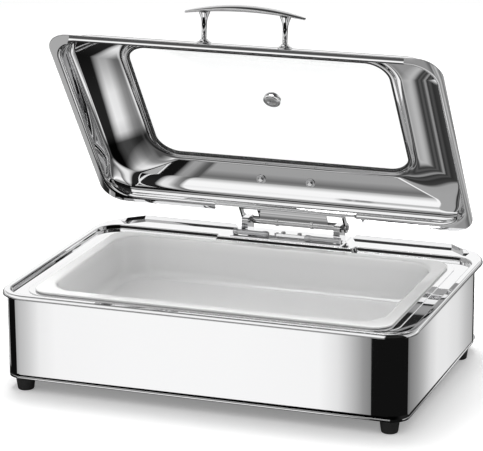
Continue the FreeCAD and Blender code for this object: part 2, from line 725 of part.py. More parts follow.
def element_straps():
    """Straps under the element, each on two posts from the bath's floor."""
    parts = []
    low = TUBE_Z - TUBE_R - TUBE_SEAT - STRAP_THICK
    post = STRAP_LONG / 2 - STRAP_POST_R
    for y in (PAN_CENTRE_Y - TUBE_HALF_Y, PAN_CENTRE_Y + TUBE_HALF_Y):
        for x in (STRAP_FROM_BEND - TUBE_HALF_X, TUBE_HALF_X - STRAP_FROM_BEND):
            strap = box(x - STRAP_WIDE / 2, y - STRAP_LONG / 2, low,
                        x + STRAP_WIDE / 2, y + STRAP_LONG / 2, low + STRAP_THICK)
            for side in (-1, 1):
                strap = strap.fuse(rod(STRAP_POST_R, V(x, y + side * post, low), V(0, 0, 1),
                                       WATER_FLOOR - low))
            parts.append(strap.removeSplitter())
    return group(parts)


def bulb_z():
    """Height of the sensing bulb's axis."""
    return WATER_FLOOR - BULB_R - 0.1


def thermostat_bulb():
    """Sensing bulb against the bath, with its capillary to the thermostat."""
    z = bulb_z()
    y0 = PAN_CENTRE_Y - BULB_LENGTH / 2
    y1 = y0 + BULB_LENGTH
    bulb = rod(BULB_R, V(BULB_X, y0, z), V(0, 1, 0), BULB_LENGTH)
    bulb = rounded(bulb, BULB_R * 0.6, lambda c: c.y < y0 + 0.1)
    end = TRAY_FACE - SHEET - THERMOSTAT_DEEP
    out_x = TRAY_CENTRE_X + KNOB_X
    low = TUBE_Z - TUBE_R - 4
    pts = [V(BULB_X, y1 - 1, z), V(BULB_X, y1 + 14, z), V(BULB_X, y1 + 30, low),
           V(BULB_X, end - 34, low), V(out_x, end - 34, low), V(out_x, end - 34, TRAY_Z - 8),
           V(out_x, end, TRAY_Z - 8)]
    return bulb.fuse(tube(pts, [7, 7, 12, 12, 12], CAPILLARY_R)).removeSplitter()


def bulb_clip():
    """Clip that holds the bulb against the bath."""
    z = bulb_z()
    low = z - BULB_R - 0.1 - STRAP_THICK
    y = PAN_CENTRE_Y
    half = BULB_R + 0.1
    strap = box(BULB_X - half - 9, y - 8, low, BULB_X + half + 9, y + 8, low + STRAP_THICK)
    for side in (-1, 1):
        strap = strap.fuse(rod(STRAP_POST_R, V(BULB_X + side * (half + 6), y, low), V(0, 0, 1),
                               WATER_FLOOR - low))
    return strap.removeSplitter()


def thermal_cutout():
    """Round safety cut-out flat against the bath, with two tabs."""
    centre = V(CUTOUT_X, PAN_CENTRE_Y, WATER_FLOOR - CUTOUT_THICK)
    body = rod(CUTOUT_R, centre, V(0, 0, 1), CUTOUT_THICK)
    for side in (-1, 1):
        x = CUTOUT_X + side * CUTOUT_R * 0.5
        body = body.fuse(box(x - 0.4, PAN_CENTRE_Y - 3, WATER_FLOOR - CUTOUT_THICK - 7,
                             x + 0.4, PAN_CENTRE_Y + 3, WATER_FLOOR - CUTOUT_THICK + 1))
    return body.removeSplitter()


# Control tray and what it carries


def through(x, r, z=TRAY_Z):
    """Round hole through the tray's floor."""
    return rod(r, V(TRAY_CENTRE_X + x, TRAY_FACE - SHEET - 1, z), V(0, 1, 0), SHEET + 2)


def port(x, wide, tall, y0, y1):
    """Upright box on the tray's middle line."""
    cx = TRAY_CENTRE_X + x
    return box(cx - wide / 2, y0, TRAY_Z - tall / 2, cx + wide / 2, y1, TRAY_Z + tall / 2)


def tray_screw_places():
    """Screws at the four corners of the tray's flange."""
    x = TRAY_LENGTH / 2 - 10
    z = TRAY_HEIGHT / 2 + TRAY_FLANGE / 2
    return [(TRAY_CENTRE_X + sx * x, TRAY_Z + sz * z) for sx in (-1, 1) for sz in (-1, 1)]


def control_tray():
    """Pressed tray with its flange against the rear wall."""
    tray = tray_hole(-0.3, TRAY_FACE - SHEET, SKIRT_Y + SHEET)
    tray = tray.fuse(tray_hole(TRAY_FLANGE, SKIRT_Y, SKIRT_Y + SHEET))
    tray = tray.cut(tray_hole(-0.3 - SHEET, TRAY_FACE, HALF_Y))
    body = SWITCH_WIDE - 2 * SWITCH_RIM
    holes = [through(KNOB_X, BUSH_R), through(LAMP_X, LAMP_R),
             port(SWITCH_X, body, SWITCH_TALL - 2 * SWITCH_RIM, TRAY_FACE - SHEET - 1, TRAY_FACE + 1),
             port(INLET_X, INLET_WIDE, INLET_TALL, TRAY_FACE - SHEET - 1, TRAY_FACE + 1)]
    return tray.cut(group(holes)).removeSplitter()


def tray_screws():
    """Domed screws of the tray."""
    parts = []
    for x, z in tray_screw_places():
        head = rod(SMALL_HEAD_R, V(x, SKIRT_Y + SHEET, z), V(0, 1, 0), SMALL_HEAD)
        parts.append(rounded(head, 1.0, lambda c: c.y > SKIRT_Y + SHEET + SMALL_HEAD - 0.01))
    return group(parts)


def thermostat():
    """Thermostat box behind the tray with its threaded bush."""
    x = TRAY_CENTRE_X + KNOB_X
    back = TRAY_FACE - SHEET
    half = THERMOSTAT_SIZE / 2
    body = box(x - half, back - THERMOSTAT_DEEP, TRAY_Z - half, x + half, back, TRAY_Z + half)
    bush = rod(BUSH_R, V(x, back - 1, TRAY_Z), V(0, 1, 0), 1 + SHEET + 1.2)
    bore = rod(SHAFT_R + SHAFT_PLAY, V(x, back - 12, TRAY_Z), V(0, 1, 0), 30)
    return body.fuse(bush).cut(bore).removeSplitter()


def thermostat_shaft():
    """Turning shaft, seated at the bottom of the thermostat's bore."""
    x = TRAY_CENTRE_X + KNOB_X
    start = TRAY_FACE - SHEET - 12 + 0.1
    end = TRAY_FACE + KNOB_GAP + KNOB_HIGH - 4
    return rod(SHAFT_R, V(x, start, TRAY_Z), V(0, 1, 0), end - start)


def control_knob():
    """Round dial with a raised grip bar across it."""
    x = TRAY_CENTRE_X + KNOB_X
    y = TRAY_FACE + KNOB_GAP
    plate = rod(KNOB_R, V(x, y, TRAY_Z), V(0, 1, 0), 4)
    cap = Part.makeCone(KNOB_TOP_R, KNOB_TOP_R - 1.5, KNOB_HIGH - 7, V(x, y + 3.5, TRAY_Z), V(0, 1, 0))
    bar = box(x - KNOB_GRIP / 2, y + 3.5, TRAY_Z - KNOB_TOP_R + 1.5,
              x + KNOB_GRIP / 2, y + KNOB_HIGH, TRAY_Z + KNOB_TOP_R - 1.5)
    knob = plate.fuse(cap).fuse(bar)
    knob = knob.cut(rod(SHAFT_R, V(x, y - 1, TRAY_Z), V(0, 1, 0), KNOB_HIGH - 3))
    return knob.cut(rod(BUSH_R + 1, V(x, y - 1, TRAY_Z), V(0, 1, 0), 2.5)).removeSplitter()


def pilot_lamp():
    """Neon lamp: a barrel behind the tray, a bezel and a domed lens in one moulding."""
    x = TRAY_CENTRE_X + LAMP_X
    barrel = rod(LAMP_R, V(x, TRAY_FACE - SHEET - 14, TRAY_Z), V(0, 1, 0), 14 + SHEET)
    bezel = rod(LAMP_BEZEL_R, V(x, TRAY_FACE, TRAY_Z), V(0, 1, 0), 1.5)
    lens = Part.makeCone(LAMP_R, LAMP_R * 0.6, 3.0, V(x, TRAY_FACE + 1.5, TRAY_Z), V(0, 1, 0))
    return barrel.fuse(bezel).fuse(lens).removeSplitter()


def rocker_pivot():
    """Pivot of the rocker, inside the switch frame."""
    return V(TRAY_CENTRE_X + SWITCH_X, TRAY_FACE + SWITCH_RIM - ROCKER_SINK, TRAY_Z)


def switch_housing():
    """Switch frame and body, hollow where the rocker swings."""
    inner = SWITCH_WIDE - 2 * SWITCH_RIM
    tall = SWITCH_TALL - 2 * SWITCH_RIM
    rim = port(SWITCH_X, SWITCH_WIDE, SWITCH_TALL, TRAY_FACE, TRAY_FACE + SWITCH_RIM)
    body = port(SWITCH_X, inner, tall, TRAY_FACE - SWITCH_DEEP, TRAY_FACE + SWITCH_RIM)
    cavity = port(SWITCH_X, inner - 3, tall - 3, TRAY_FACE - 8, TRAY_FACE + SWITCH_RIM + 1)
    p = rocker_pivot()
    bore = rod(ROCKER_PIN_R + 0.05, p - V(inner / 2 - 0.5, 0, 0), V(1, 0, 0), inner - 1)
    return rim.fuse(body).cut(cavity).cut(bore).removeSplitter()


def switch_rocker():
    """Rocker with two slanted faces and its pins, tilted to its off side."""
    p = rocker_pivot()
    inner = SWITCH_WIDE - 2 * SWITCH_RIM
    half = (inner - 3) / 2 - ROCKER_GAP
    reach = (SWITCH_TALL - 2 * SWITCH_RIM - 3) / 2 - 1.2
    pts = [(-2.0, -reach), (3.4, -reach), (1.6, 0), (3.4, reach), (-2.0, reach)]
    body = polygon([V(p.x - half, p.y + a, p.z + b) for a, b in pts], V(2 * half, 0, 0))
    pin = rod(ROCKER_PIN_R, p - V(inner / 2 - 0.6, 0, 0), V(1, 0, 0), inner - 1.2)
    rocker = body.fuse(pin).removeSplitter()
    rocker.rotate(p, V(1, 0, 0), ROCKER_TILT)
    return rocker


def power_inlet():
    """Mains inlet socket, without a lead."""
    rim = port(INLET_X, INLET_WIDE + 2 * INLET_RIM, INLET_TALL + 2 * INLET_RIM,
               TRAY_FACE, TRAY_FACE + 2)
    body = port(INLET_X, INLET_WIDE, INLET_TALL, TRAY_FACE - INLET_DEEP, TRAY_FACE + 1)
    socket = port(INLET_X, INLET_WIDE - INLET_SOCKET_INSET, INLET_TALL - INLET_SOCKET_INSET,
                  TRAY_FACE + 2 - INLET_SOCKET_DEEP, TRAY_FACE + 3)
    return rim.fuse(body).cut(socket).removeSplitter()


def inlet_pins():
    """Three contact pins at the bottom of the inlet."""
    y = TRAY_FACE + 2 - INLET_SOCKET_DEEP
    parts = []
    for dx, dz in ((-7, -2), (0, 3), (7, -2)):
        cx = TRAY_CENTRE_X + INLET_X + dx
        parts.append(box(cx - PIN_WIDE / 2, y, TRAY_Z + dz - PIN_TALL / 2,
                         cx + PIN_WIDE / 2, y + PIN_LONG, TRAY_Z + dz + PIN_TALL / 2))
    return group(parts)


def terminal_block():
    """Terminal block on the base plate with a screw well in each way."""
    z = FOOT_HEIGHT + SHEET
    y = TRAY_FACE - 40
    block = box(BLOCK_X - BLOCK_LONG / 2, y - BLOCK_WIDE / 2, z,
                BLOCK_X + BLOCK_LONG / 2, y + BLOCK_WIDE / 2, z + BLOCK_HIGH)
    wells = [rod(3.0, V(x, y, z + 6), V(0, 0, 1), BLOCK_HIGH) for x in block_ways()]
    return block.cut(group(wells))


def block_ways():
    """Middle of each way of the terminal block."""
    pitch = BLOCK_LONG / BLOCK_WAYS
    return [BLOCK_X + (k - (BLOCK_WAYS - 1) / 2) * pitch for k in range(BLOCK_WAYS)]


def terminal_screws():
    """Clamp screws in the terminal block."""
    z = FOOT_HEIGHT + SHEET + 6
    y = TRAY_FACE - 40
    return group([rod(2.6, V(x, y, z), V(0, 0, 1), 5) for x in block_ways()])


# Hinge on the deck


def hinge_plate():
    """Flat plate under the hinge towers."""
    x = HINGE_PLATE_HALF
    return box(-x, HINGE_PLATE_Y0, DECK, x, HINGE_PLATE_Y1, HINGE_TOP)


def hinge_tower(side):
    """Upright bearing block with a round back and a bore for the axle."""
    x0 = side * TOWER_X - TOWER_THICK / 2
    y0 = TOWER_Y0
    top = PIVOT_Z + TOWER_TOP
    block = box(x0, y0, HINGE_TOP, x0 + TOWER_THICK, PIVOT_Y + TOWER_TOP, top)
    block = rounded(block, TOWER_TOP - 0.5, lambda c: c.y > PIVOT_Y + TOWER_TOP - 0.01 and c.z > top - 0.01)
    block = rounded(block, 4.0, lambda c: c.y < y0 + 0.01 and c.z > top - 0.01)
    return block.cut(rod(AXLE_R + AXLE_PLAY, V(x0 - 1, PIVOT_Y, PIVOT_Z), V(1, 0, 0), TOWER_THICK + 2))


def damper(side):
    """Lid damper cartridge lying on the hinge plate in front of a tower."""
    y = HINGE_PLATE_Y0 + DAMPER_FROM_FRONT
    z = HINGE_TOP + DAMPER_CAP_R
    outer = HINGE_PLATE_HALF - 3
    inner = outer - DAMPER_LENGTH - DAMPER_CAP
    body = rod(DAMPER_R, V(inner, y, z), V(1, 0, 0), outer - inner)
    cap = rod(DAMPER_CAP_R, V(outer - DAMPER_CAP, y, z), V(1, 0, 0), DAMPER_CAP)
    nose = rod(DAMPER_CAP_R, V(inner + 2, y, z), V(1, 0, 0), DAMPER_CAP)
    body = body.fuse(cap).fuse(nose).removeSplitter()
    return body if side > 0 else body.mirror(V(0, 0, 0), V(1, 0, 0))


def clamp_y():
    """Middle of the clamp plate between the towers."""
    return TOWER_Y0 + 6


def hinge_clamp():
    """Small plate that clamps the hinge plate to the deck."""
    y = clamp_y()
    plate = box(-CLAMP_LENGTH / 2, y - CLAMP_WIDE / 2, HINGE_TOP,
                CLAMP_LENGTH / 2, y + CLAMP_WIDE / 2, HINGE_TOP + CLAMP_THICK)
    return rounded(plate, 3.0, lambda c: abs(abs(c.x) - CLAMP_LENGTH / 2) < 0.01
                   and abs(abs(c.y - y) - CLAMP_WIDE / 2) < 0.01)


def clamp_screws():
    """Two domed screws in the clamp plate."""
    parts = []
    z = HINGE_TOP + CLAMP_THICK
    for side in (-1, 1):
        head = rod(SMALL_HEAD_R, V(side * CLAMP_SCREWS / 2, clamp_y(), z), V(0, 0, 1), SMALL_HEAD)
        parts.append(rounded(head, 1.0, lambda c: c.z > z + SMALL_HEAD - 0.01))
    return group(parts)


# Lid, built shut


def lid_outline(inset, r, z):
    """Outline of the lid at an inset from the rim's edge."""
    return outline(LID_X - inset, LID_Y0 + inset, LID_Y1 - inset, r, r, z)


def window_outline(grow, z):
    """Outline of the window opening, grown by a margin."""
    x = WINDOW_LENGTH / 2 + grow
    y = WINDOW_WIDTH / 2 + grow
    r = WINDOW_CORNER + grow
    return outline(x, WINDOW_Y - y, WINDOW_Y + y, r, r, z)


def dome(shrink):
    """Solid under the dome's skin: a steep foot and slopes up to the window's land."""
    foot = LID_RIM_WIDTH + shrink
    shoulder = foot + LID_RISE_DRAFT
    low = lid_outline(foot, DOME_CORNER - shrink, LID_Z - (1 if shrink else 0))
    mid = lid_outline(shoulder, DOME_CORNER - shrink, LID_Z + LID_RISE - shrink)
    top = window_outline(WINDOW_LAND - shrink * 0.5, LAND_Z - shrink)
    solid = loft(low, mid).fuse(loft(mid, top)).removeSplitter()
    z_mid = LID_Z + LID_RISE - shrink
    solid = rounded(solid, LID_FOOT_ROUND - shrink, lambda c: abs(c.z - z_mid) < 0.05)
    return rounded(solid, LID_TOP_ROUND - shrink, lambda c: abs(c.z - LAND_Z + shrink) < 0.05)


def rim_notch():
    """Space taken out of the rim where the hinge tongue of the deck comes forward."""
    half = BAY_HALF + LID_RIM_GAP + 1
    y = LID_Y1 - LID_RIM_WIDTH + 0.3
    return box(-half, y, LID_Z - 1, half, LID_Y1 + 1, LID_Z + LID_SHEET + 1)


def lid_shell():
    """Pressed lid: flat rim, dome and window opening."""
    rim = Part.Face(lid_outline(0, LID_CORNER, LID_Z)).extrude(V(0, 0, LID_SHEET))
    shell = rim.cut(rim_notch()).fuse(dome(0)).cut(dome(LID_SHEET))
    opening = Part.Face(window_outline(0, LAND_Z - 10)).extrude(V(0, 0, 20))
    shell = shell.cut(opening)
    for x in (-POST_SPACING / 2, POST_SPACING / 2):
        shell = shell.cut(post_hole(x))
    for x in (-BRACKET_SCREW_SPACING / 2, BRACKET_SCREW_SPACING / 2):
        shell = shell.cut(bracket_hole(x))
    return shell.removeSplitter()


def glass_body(drop):
    """Crowned solid under the glass's upper face, lowered by drop."""
    z = GLASS_Z + GLASS_THICK - drop
    steps = [(0.0, 0.0), (0.12, 0.36), (0.3, 0.70), (0.55, 0.93)]
    wires = []
    for inward, rise in steps:
        x = WINDOW_LENGTH / 2 - inward * (WINDOW_LENGTH / 2 - GLASS_FLAT)
        y = WINDOW_WIDTH / 2 - inward * (WINDOW_WIDTH / 2 - GLASS_FLAT)
        r = WINDOW_CORNER - inward * (WINDOW_CORNER - GLASS_FLAT + 1)
        wires.append(outline(x, WINDOW_Y - y, WINDOW_Y + y, r, r, z + rise * GLASS_CROWN))
    wires.append(outline(GLASS_FLAT, WINDOW_Y - GLASS_FLAT, WINDOW_Y + GLASS_FLAT,
                         GLASS_FLAT - 1, GLASS_FLAT - 1, z + GLASS_CROWN))
    return Part.makeLoft(wires, True, False)


def lid_glass():
    """Crowned window glass with a flat border and a hole for the vent."""
    border = Part.Face(window_outline(GLASS_LAP, GLASS_Z)).extrude(V(0, 0, GLASS_THICK))
    glass = border.fuse(glass_body(0)).cut(glass_body(GLASS_THICK))
    hole = rod(VENT_HOLE_R, V(0, WINDOW_Y, GLASS_Z), V(0, 0, 1), 60)
    return glass.cut(hole).removeSplitter()


def glass_seal():
    """Flat seal between the glass and the window's land."""
    ring = Part.Face(window_outline(GLASS_LAP, LAND_Z)).extrude(V(0, 0, SEAL_THICK))
    hole = Part.Face(window_outline(0.5, LAND_Z - 1)).extrude(V(0, 0, SEAL_THICK + 2))
    return ring.cut(hole)


def vent_cap():
    """Vent cap above the glass with a threaded stem through it."""
    z = GLASS_Z + GLASS_THICK + GLASS_CROWN
    cap = rod(VENT_CAP_R, V(0, WINDOW_Y, z), V(0, 0, 1), VENT_CAP_HIGH)
    cap = rounded(cap, 2.5, lambda c: c.z > z + VENT_CAP_HIGH - 0.01)
    stem = rod(VENT_HOLE_R - 0.2, V(0, WINDOW_Y, z - GLASS_THICK - VENT_NUT_THICK), V(0, 0, 1),
               GLASS_THICK + VENT_NUT_THICK + 1)
    bore = rod(VENT_BORE_R, V(0, WINDOW_Y, z - 20), V(0, 0, 1), 20 + VENT_CAP_HIGH + 1)
    return cap.fuse(stem).cut(bore).removeSplitter()


def vent_nut():
    """Round nut that draws the vent against the glass from inside."""
    z = GLASS_Z + GLASS_CROWN - VENT_NUT_THICK
    nut = rod(VENT_NUT_R, V(0, WINDOW_Y, z), V(0, 0, 1), VENT_NUT_THICK)
    nut = rounded(nut, 1.0, lambda c: c.z < z + 0.01)
    return nut.cut(rod(VENT_HOLE_R - 0.2, V(0, WINDOW_Y, z - 1), V(0, 0, 1), VENT_NUT_THICK + 2))


# Handle


def front_slope():
    """Foot and unit direction of the front slope's outer face."""
    y0 = LID_Y0 + LID_RIM_WIDTH + LID_RISE_DRAFT
    z0 = LID_Z + LID_RISE
    y1 = WINDOW_Y - WINDOW_WIDTH / 2 - WINDOW_LAND
    run = V(0, y1 - y0, LAND_Z - z0).normalize()
    return V(0, y0, z0), run


def post_base(x):
    """Where a handle post meets the front slope."""
    foot, run = front_slope()
    p = foot + run * POST_UP
    return V(x, p.y, p.z)


def post_direction():
    """Direction of the handle posts."""
    a = math.radians(POST_TILT)
    return V(0, -math.cos(a), math.sin(a))


def post_hole(x):
    """Hole for a post's threaded end, square to the post."""
    d = post_direction()
    return rod(POST_R - 0.8, post_base(x) - d * 12, d, 24)


def outside_of_dome(shape):
    """What of a shape lies outside the dome."""
    return shape.cut(dome(0))


def handle_cups():
    """Base cups trimmed to the slope, one under each post."""
    d = post_direction()
    parts = []
    for x in (-POST_SPACING / 2, POST_SPACING / 2):
        start = post_base(x) - d * 10
        cup = Part.makeCone(CUP_R, CUP_RIM_R, 10 + CUP_HEIGHT, start, d)
        cup = outside_of_dome(cup)
        parts.append(cup.cut(rod(POST_R, post_base(x) - d * 12, d, 40)))
    return group(parts)


def handle_posts():
    """Slim posts flared at the top, each with a threaded end through the lid."""
    d = post_direction()
    parts = []
    for x in (-POST_SPACING / 2, POST_SPACING / 2):
        base = post_base(x)
        stem = outside_of_dome(rod(POST_R, base - d * 8, d, 8 + POST_LENGTH + GRIP_SINK))
        flare = Part.makeCone(POST_R, POST_FLARE_R, POST_FLARE, base + d * (POST_LENGTH - POST_FLARE), d)
        reach = HANDLE_WALL + NUT_THICK + THREAD_END
        end = rod(POST_R - 0.8, base - d * reach, d, reach + 1)
        post = stem.fuse(flare).fuse(end)
        parts.append(post.cut(grip_solid()).removeSplitter())
    return group(parts)


def handle_nuts():
    """Nuts inside the lid, trimmed to the slope."""
    d = post_direction()
    parts = []
    for x in (-POST_SPACING / 2, POST_SPACING / 2):
        base = post_base(x)
        nut = rod(NUT_R, base - d * (NUT_THICK + HANDLE_WALL), d, NUT_THICK + 10)
        nut = nut.common(dome(LID_SHEET))
        parts.append(nut.cut(rod(POST_R - 0.8, base - d * 20, d, 40)))
    return group(parts)


def grip_solid():
    """Bowed blade with drawn-in tips, lying across the posts; its section is a flat lens."""
    d = post_direction()
    across = V(0, math.sin(math.radians(POST_TILT)), math.cos(math.radians(POST_TILT)))
    middle = post_base(0) + d * (POST_LENGTH + GRIP_THICK / 2 - GRIP_SINK)
    half = GRIP_LENGTH / 2
    wires = []
    for k in range(GRIP_SECTIONS):
        t = -1 + 2 * k / (GRIP_SECTIONS - 1)
        fall = t * t
        wide = GRIP_WIDE - (GRIP_WIDE - GRIP_TIP_WIDE) * abs(t) ** 3
        thick = GRIP_THICK - (GRIP_THICK - GRIP_TIP_THICK) * fall
        spacing = (POST_SPACING / GRIP_LENGTH) ** 2
        centre = middle + V(t * half, 0, 0) + d * (GRIP_BOW * (spacing - fall))
        one = centre - across * (wide / 2)
        other = centre + across * (wide / 2)
        upper = Part.Arc(one, centre + d * (thick / 2), other)
        lower = Part.Arc(other, centre - d * (thick / 2), one)
        wires.append(Part.Wire([upper.toShape(), lower.toShape()]))
    return Part.makeLoft(wires, True, False)


# Hinge pieces that swing with the lid


def rear_slope():
    """Foot and unit direction of the rear slope's outer face."""
    y0 = LID_Y1 - LID_RIM_WIDTH - LID_RISE_DRAFT
    z0 = LID_Z + LID_RISE
    y1 = WINDOW_Y + WINDOW_WIDTH / 2 + WINDOW_LAND
    run = V(0, y1 - y0, LAND_Z - z0).normalize()
    return V(0, y0, z0), run


def rear_normal():
    """Outward direction of the rear slope."""
    run = rear_slope()[1]
    return V(0, run.z, -run.y)


def bracket_screw_base(x):
    """Where a bracket screw passes the rear slope."""
    foot, run = rear_slope()
    p = foot + run * BRACKET_SCREW_UP
    return V(x, p.y, p.z)


def bracket_hole(x):
    """Hole for a bracket screw, square to the rear slope."""
    n = rear_normal()
    return rod(BRACKET_SCREW_R, bracket_screw_base(x) - n * 10, n, 30)


def hinge_bracket():
    """Bent leaf: a pad up the lid's rear slope, a level part and two ears with bores."""
    foot, run = rear_slope()
    n = rear_normal()
    leaf_z = DECK + LEAF_LIFT
    bend = foot + run * ((leaf_z - foot.z) / run.z)
    over = bend + n * LEAF_THICK
    top = bend + run * PAD_UP
    corner_y = over.y - run.y * ((over.z - leaf_z - LEAF_THICK) / run.z)
    side = [bend, top, top + n * LEAF_THICK, V(0, corner_y, leaf_z + LEAF_THICK),
            V(0, TOWER_Y0 - LEAF_REAR_GAP, leaf_z + LEAF_THICK), V(0, TOWER_Y0 - LEAF_REAR_GAP, leaf_z)]
    ear_out = TOWER_X + TOWER_THICK / 2 + EAR_GAP + EAR_THICK
    pad = polygon([p - V(PAD_HALF, 0, 0) for p in side], V(2 * PAD_HALF, 0, 0))
    level = box(-ear_out, bend.y + 6, leaf_z, ear_out, TOWER_Y0 - LEAF_REAR_GAP, leaf_z + LEAF_THICK)
    bracket = pad.fuse(level)
    tongue = box(-TONGUE_HALF, TOWER_Y0 - LEAF_REAR_GAP - 1, leaf_z, TONGUE_HALF, PIVOT_Y, leaf_z + LEAF_THICK)
    bracket = bracket.fuse(tongue.cut(sleeve_space()))
    for s in (-1, 1):
        x0 = ear_out - EAR_THICK if s > 0 else -ear_out
        bar = box(x0, bend.y + 6, PIVOT_Z - EAR_BAR / 2, x0 + EAR_THICK, PIVOT_Y, PIVOT_Z + EAR_BAR / 2)
        eye = rod(EAR_R, V(x0, PIVOT_Y, PIVOT_Z), V(1, 0, 0), EAR_THICK)
        bracket = bracket.fuse(bar).fuse(eye)
    bracket = bracket.cut(rod(AXLE_R, V(-ear_out - 1, PIVOT_Y, PIVOT_Z), V(1, 0, 0), 2 * ear_out + 2))
    for x in (-BRACKET_SCREW_SPACING / 2, BRACKET_SCREW_SPACING / 2):
        bracket = bracket.cut(bracket_hole(x))
    return bracket.removeSplitter()


def washer_face(x):
    """Middle of a washer's outer face, inside the lid."""
    n = rear_normal()
    wall = LID_SHEET * (abs(n.y) + abs(n.z))
    return bracket_screw_base(x) - n * (wall + BRACKET_WASHER)


def bracket_screws():
    """Domed screws inside the lid, each with a nut on the bracket."""
    n = rear_normal()
    parts = []
    for x in (-BRACKET_SCREW_SPACING / 2, BRACKET_SCREW_SPACING / 2):
        seat = washer_face(x)
        nut_seat = bracket_screw_base(x) + n * LEAF_THICK
        head = rod(BRACKET_HEAD_R, seat - n * BRACKET_HEAD, n, BRACKET_HEAD)
        head = rounded(head, BRACKET_HEAD * 0.7, lambda c: (c - seat).dot(n) < -BRACKET_HEAD + 0.01)
        shank = rod(BRACKET_SCREW_R, seat - n, n, (nut_seat - seat).Length + 1 + NUT_THICK + THREAD_END)
        nut = rod(SMALL_NUT_R, nut_seat, n, NUT_THICK)
        parts.append(head.fuse(shank).fuse(nut).removeSplitter())
    return group(parts)


def bracket_washers():
    """Washers under the domed screws, bedded on the inside of the lid."""
    n = rear_normal()
    parts = []
    for x in (-BRACKET_SCREW_SPACING / 2, BRACKET_SCREW_SPACING / 2):
        start = washer_face(x)
        ring = rod(BRACKET_WASHER_R, start, n, 2 * BRACKET_WASHER + LID_SHEET)
        ring = ring.common(dome(LID_SHEET))
        parts.append(ring.cut(rod(BRACKET_SCREW_R, start - n, n, 4 * BRACKET_WASHER + LID_SHEET)))
    return group(parts)


def hinge_axle():
    """Axle through the ears and both towers."""
    half = TOWER_X + TOWER_THICK / 2 + EAR_GAP + EAR_THICK + 2
    axle = rod(AXLE_R, V(-half, PIVOT_Y, PIVOT_Z), V(1, 0, 0), 2 * half)
    return rounded(axle, 1.0, lambda c: abs(c.x) > half - 0.01)


def sleeve_space():
    """Solid outline of the sleeve with its two collars."""
    half = TOWER_X - TOWER_THICK / 2 - SLEEVE_END_GAP
    solid = rod(SLEEVE_R, V(-half, PIVOT_Y, PIVOT_Z), V(1, 0, 0), 2 * half)
    for side in (-1, 1):
        x = side * COLLAR_SPACING / 2 - COLLAR_WIDE / 2
        solid = solid.fuse(rod(COLLAR_R, V(x, PIVOT_Y, PIVOT_Z), V(1, 0, 0), COLLAR_WIDE))
    return solid


def hinge_sleeve():
    """Tube with two collars round the axle between the towers."""
    bore = rod(AXLE_R, V(-TOWER_X, PIVOT_Y, PIVOT_Z), V(1, 0, 0), 2 * TOWER_X)
    return sleeve_space().cut(bore).removeSplitter()


def swung(shape):
    """The shape turned from shut to the photographed opening about the hinge axle."""
    turned = shape.copy()
    turned.rotate(V(0, PIVOT_Y, PIVOT_Z), V(1, 0, 0), -LID_OPEN)
    return turned


def case_nodes():
    """Everything that stays with the case."""
    nodes = {
        "top_frame": top_frame(), "skirt_corners": skirt_corners(), "base_plate": base_plate(),
        "base_rails": base_rails(), "foot_screws": foot_screws(), "base_screws": base_screws(),
        "frame_brackets": frame_brackets(), "water_pan": water_pan(), "food_pan": food_pan(),
        "heating_element": heating_element(), "element_straps": element_straps(),
        "thermostat_bulb": thermostat_bulb(), "bulb_clip": bulb_clip(),
        "thermal_cutout": thermal_cutout(), "control_tray": control_tray(),
        "tray_screws": tray_screws(), "thermostat": thermostat(),
        "thermostat_shaft": thermostat_shaft(), "control_knob": control_knob(),
        "pilot_lamp": pilot_lamp(), "switch_housing": switch_housing(),
        "switch_rocker": switch_rocker(), "power_inlet": power_inlet(),
        "inlet_pins": inlet_pins(), "terminal_block": terminal_block(),
        "terminal_screws": terminal_screws(), "hinge_plate": hinge_plate(),
        "hinge_tower_left": hinge_tower(-1), "hinge_tower_right": hinge_tower(1),
        "damper_left": damper(-1), "damper_right": damper(1),
        "hinge_clamp": hinge_clamp(), "clamp_screws": clamp_screws(),
    }
    nodes.update(skirt_panels())
    for name, x, y in foot_places():
        nodes["foot_" + name] = foot(x, y)
    return nodes


def lid_nodes():
    """Everything that swings with the lid, already opened."""
    shut = {
        "lid_shell": lid_shell(), "lid_glass": lid_glass(), "glass_seal": glass_seal(),
        "vent_cap": vent_cap(), "vent_nut": vent_nut(), "handle_grip": grip_solid(),
        "handle_posts": handle_posts(), "handle_cups": handle_cups(),
        "handle_nuts": handle_nuts(), "hinge_bracket": hinge_bracket(),
        "bracket_screws": bracket_screws(), "bracket_washers": bracket_washers(),
        "hinge_axle": hinge_axle(), "hinge_sleeve": hinge_sleeve(),
    }
    return {name: swung(shape) for name, shape in shut.items()}


def main():
    """Write each node as a STEP file."""
    os.makedirs("parts", exist_ok=True)
    nodes = case_nodes()
    nodes.update(lid_nodes())
    for name, shape in sorted(nodes.items()):
        shape.exportStep(os.path.join("parts", name + ".step"))
        print(name, len(shape.Solids), "valid" if shape.isValid() else "NOT VALID",
              round(shape.Volume), [round(v, 1) for v in (
                  shape.BoundBox.XMin, shape.BoundBox.XMax, shape.BoundBox.YMin,
                  shape.BoundBox.YMax, shape.BoundBox.ZMin, shape.BoundBox.ZMax)])


main()
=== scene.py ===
"""Electric bain-marie: a mirror-steel water bath with a porcelain pan and an open glass-window lid.

Metres, +Z up, front towards -Y. The lid's pieces are built shut and then swung open about the hinge.
"""
import json
import logging
import math
from collections.abc import Callable, Sequence
from dataclasses import dataclass, fields, replace
from enum import Enum

import bmesh
import bpy
from mathutils import Matrix, Vector


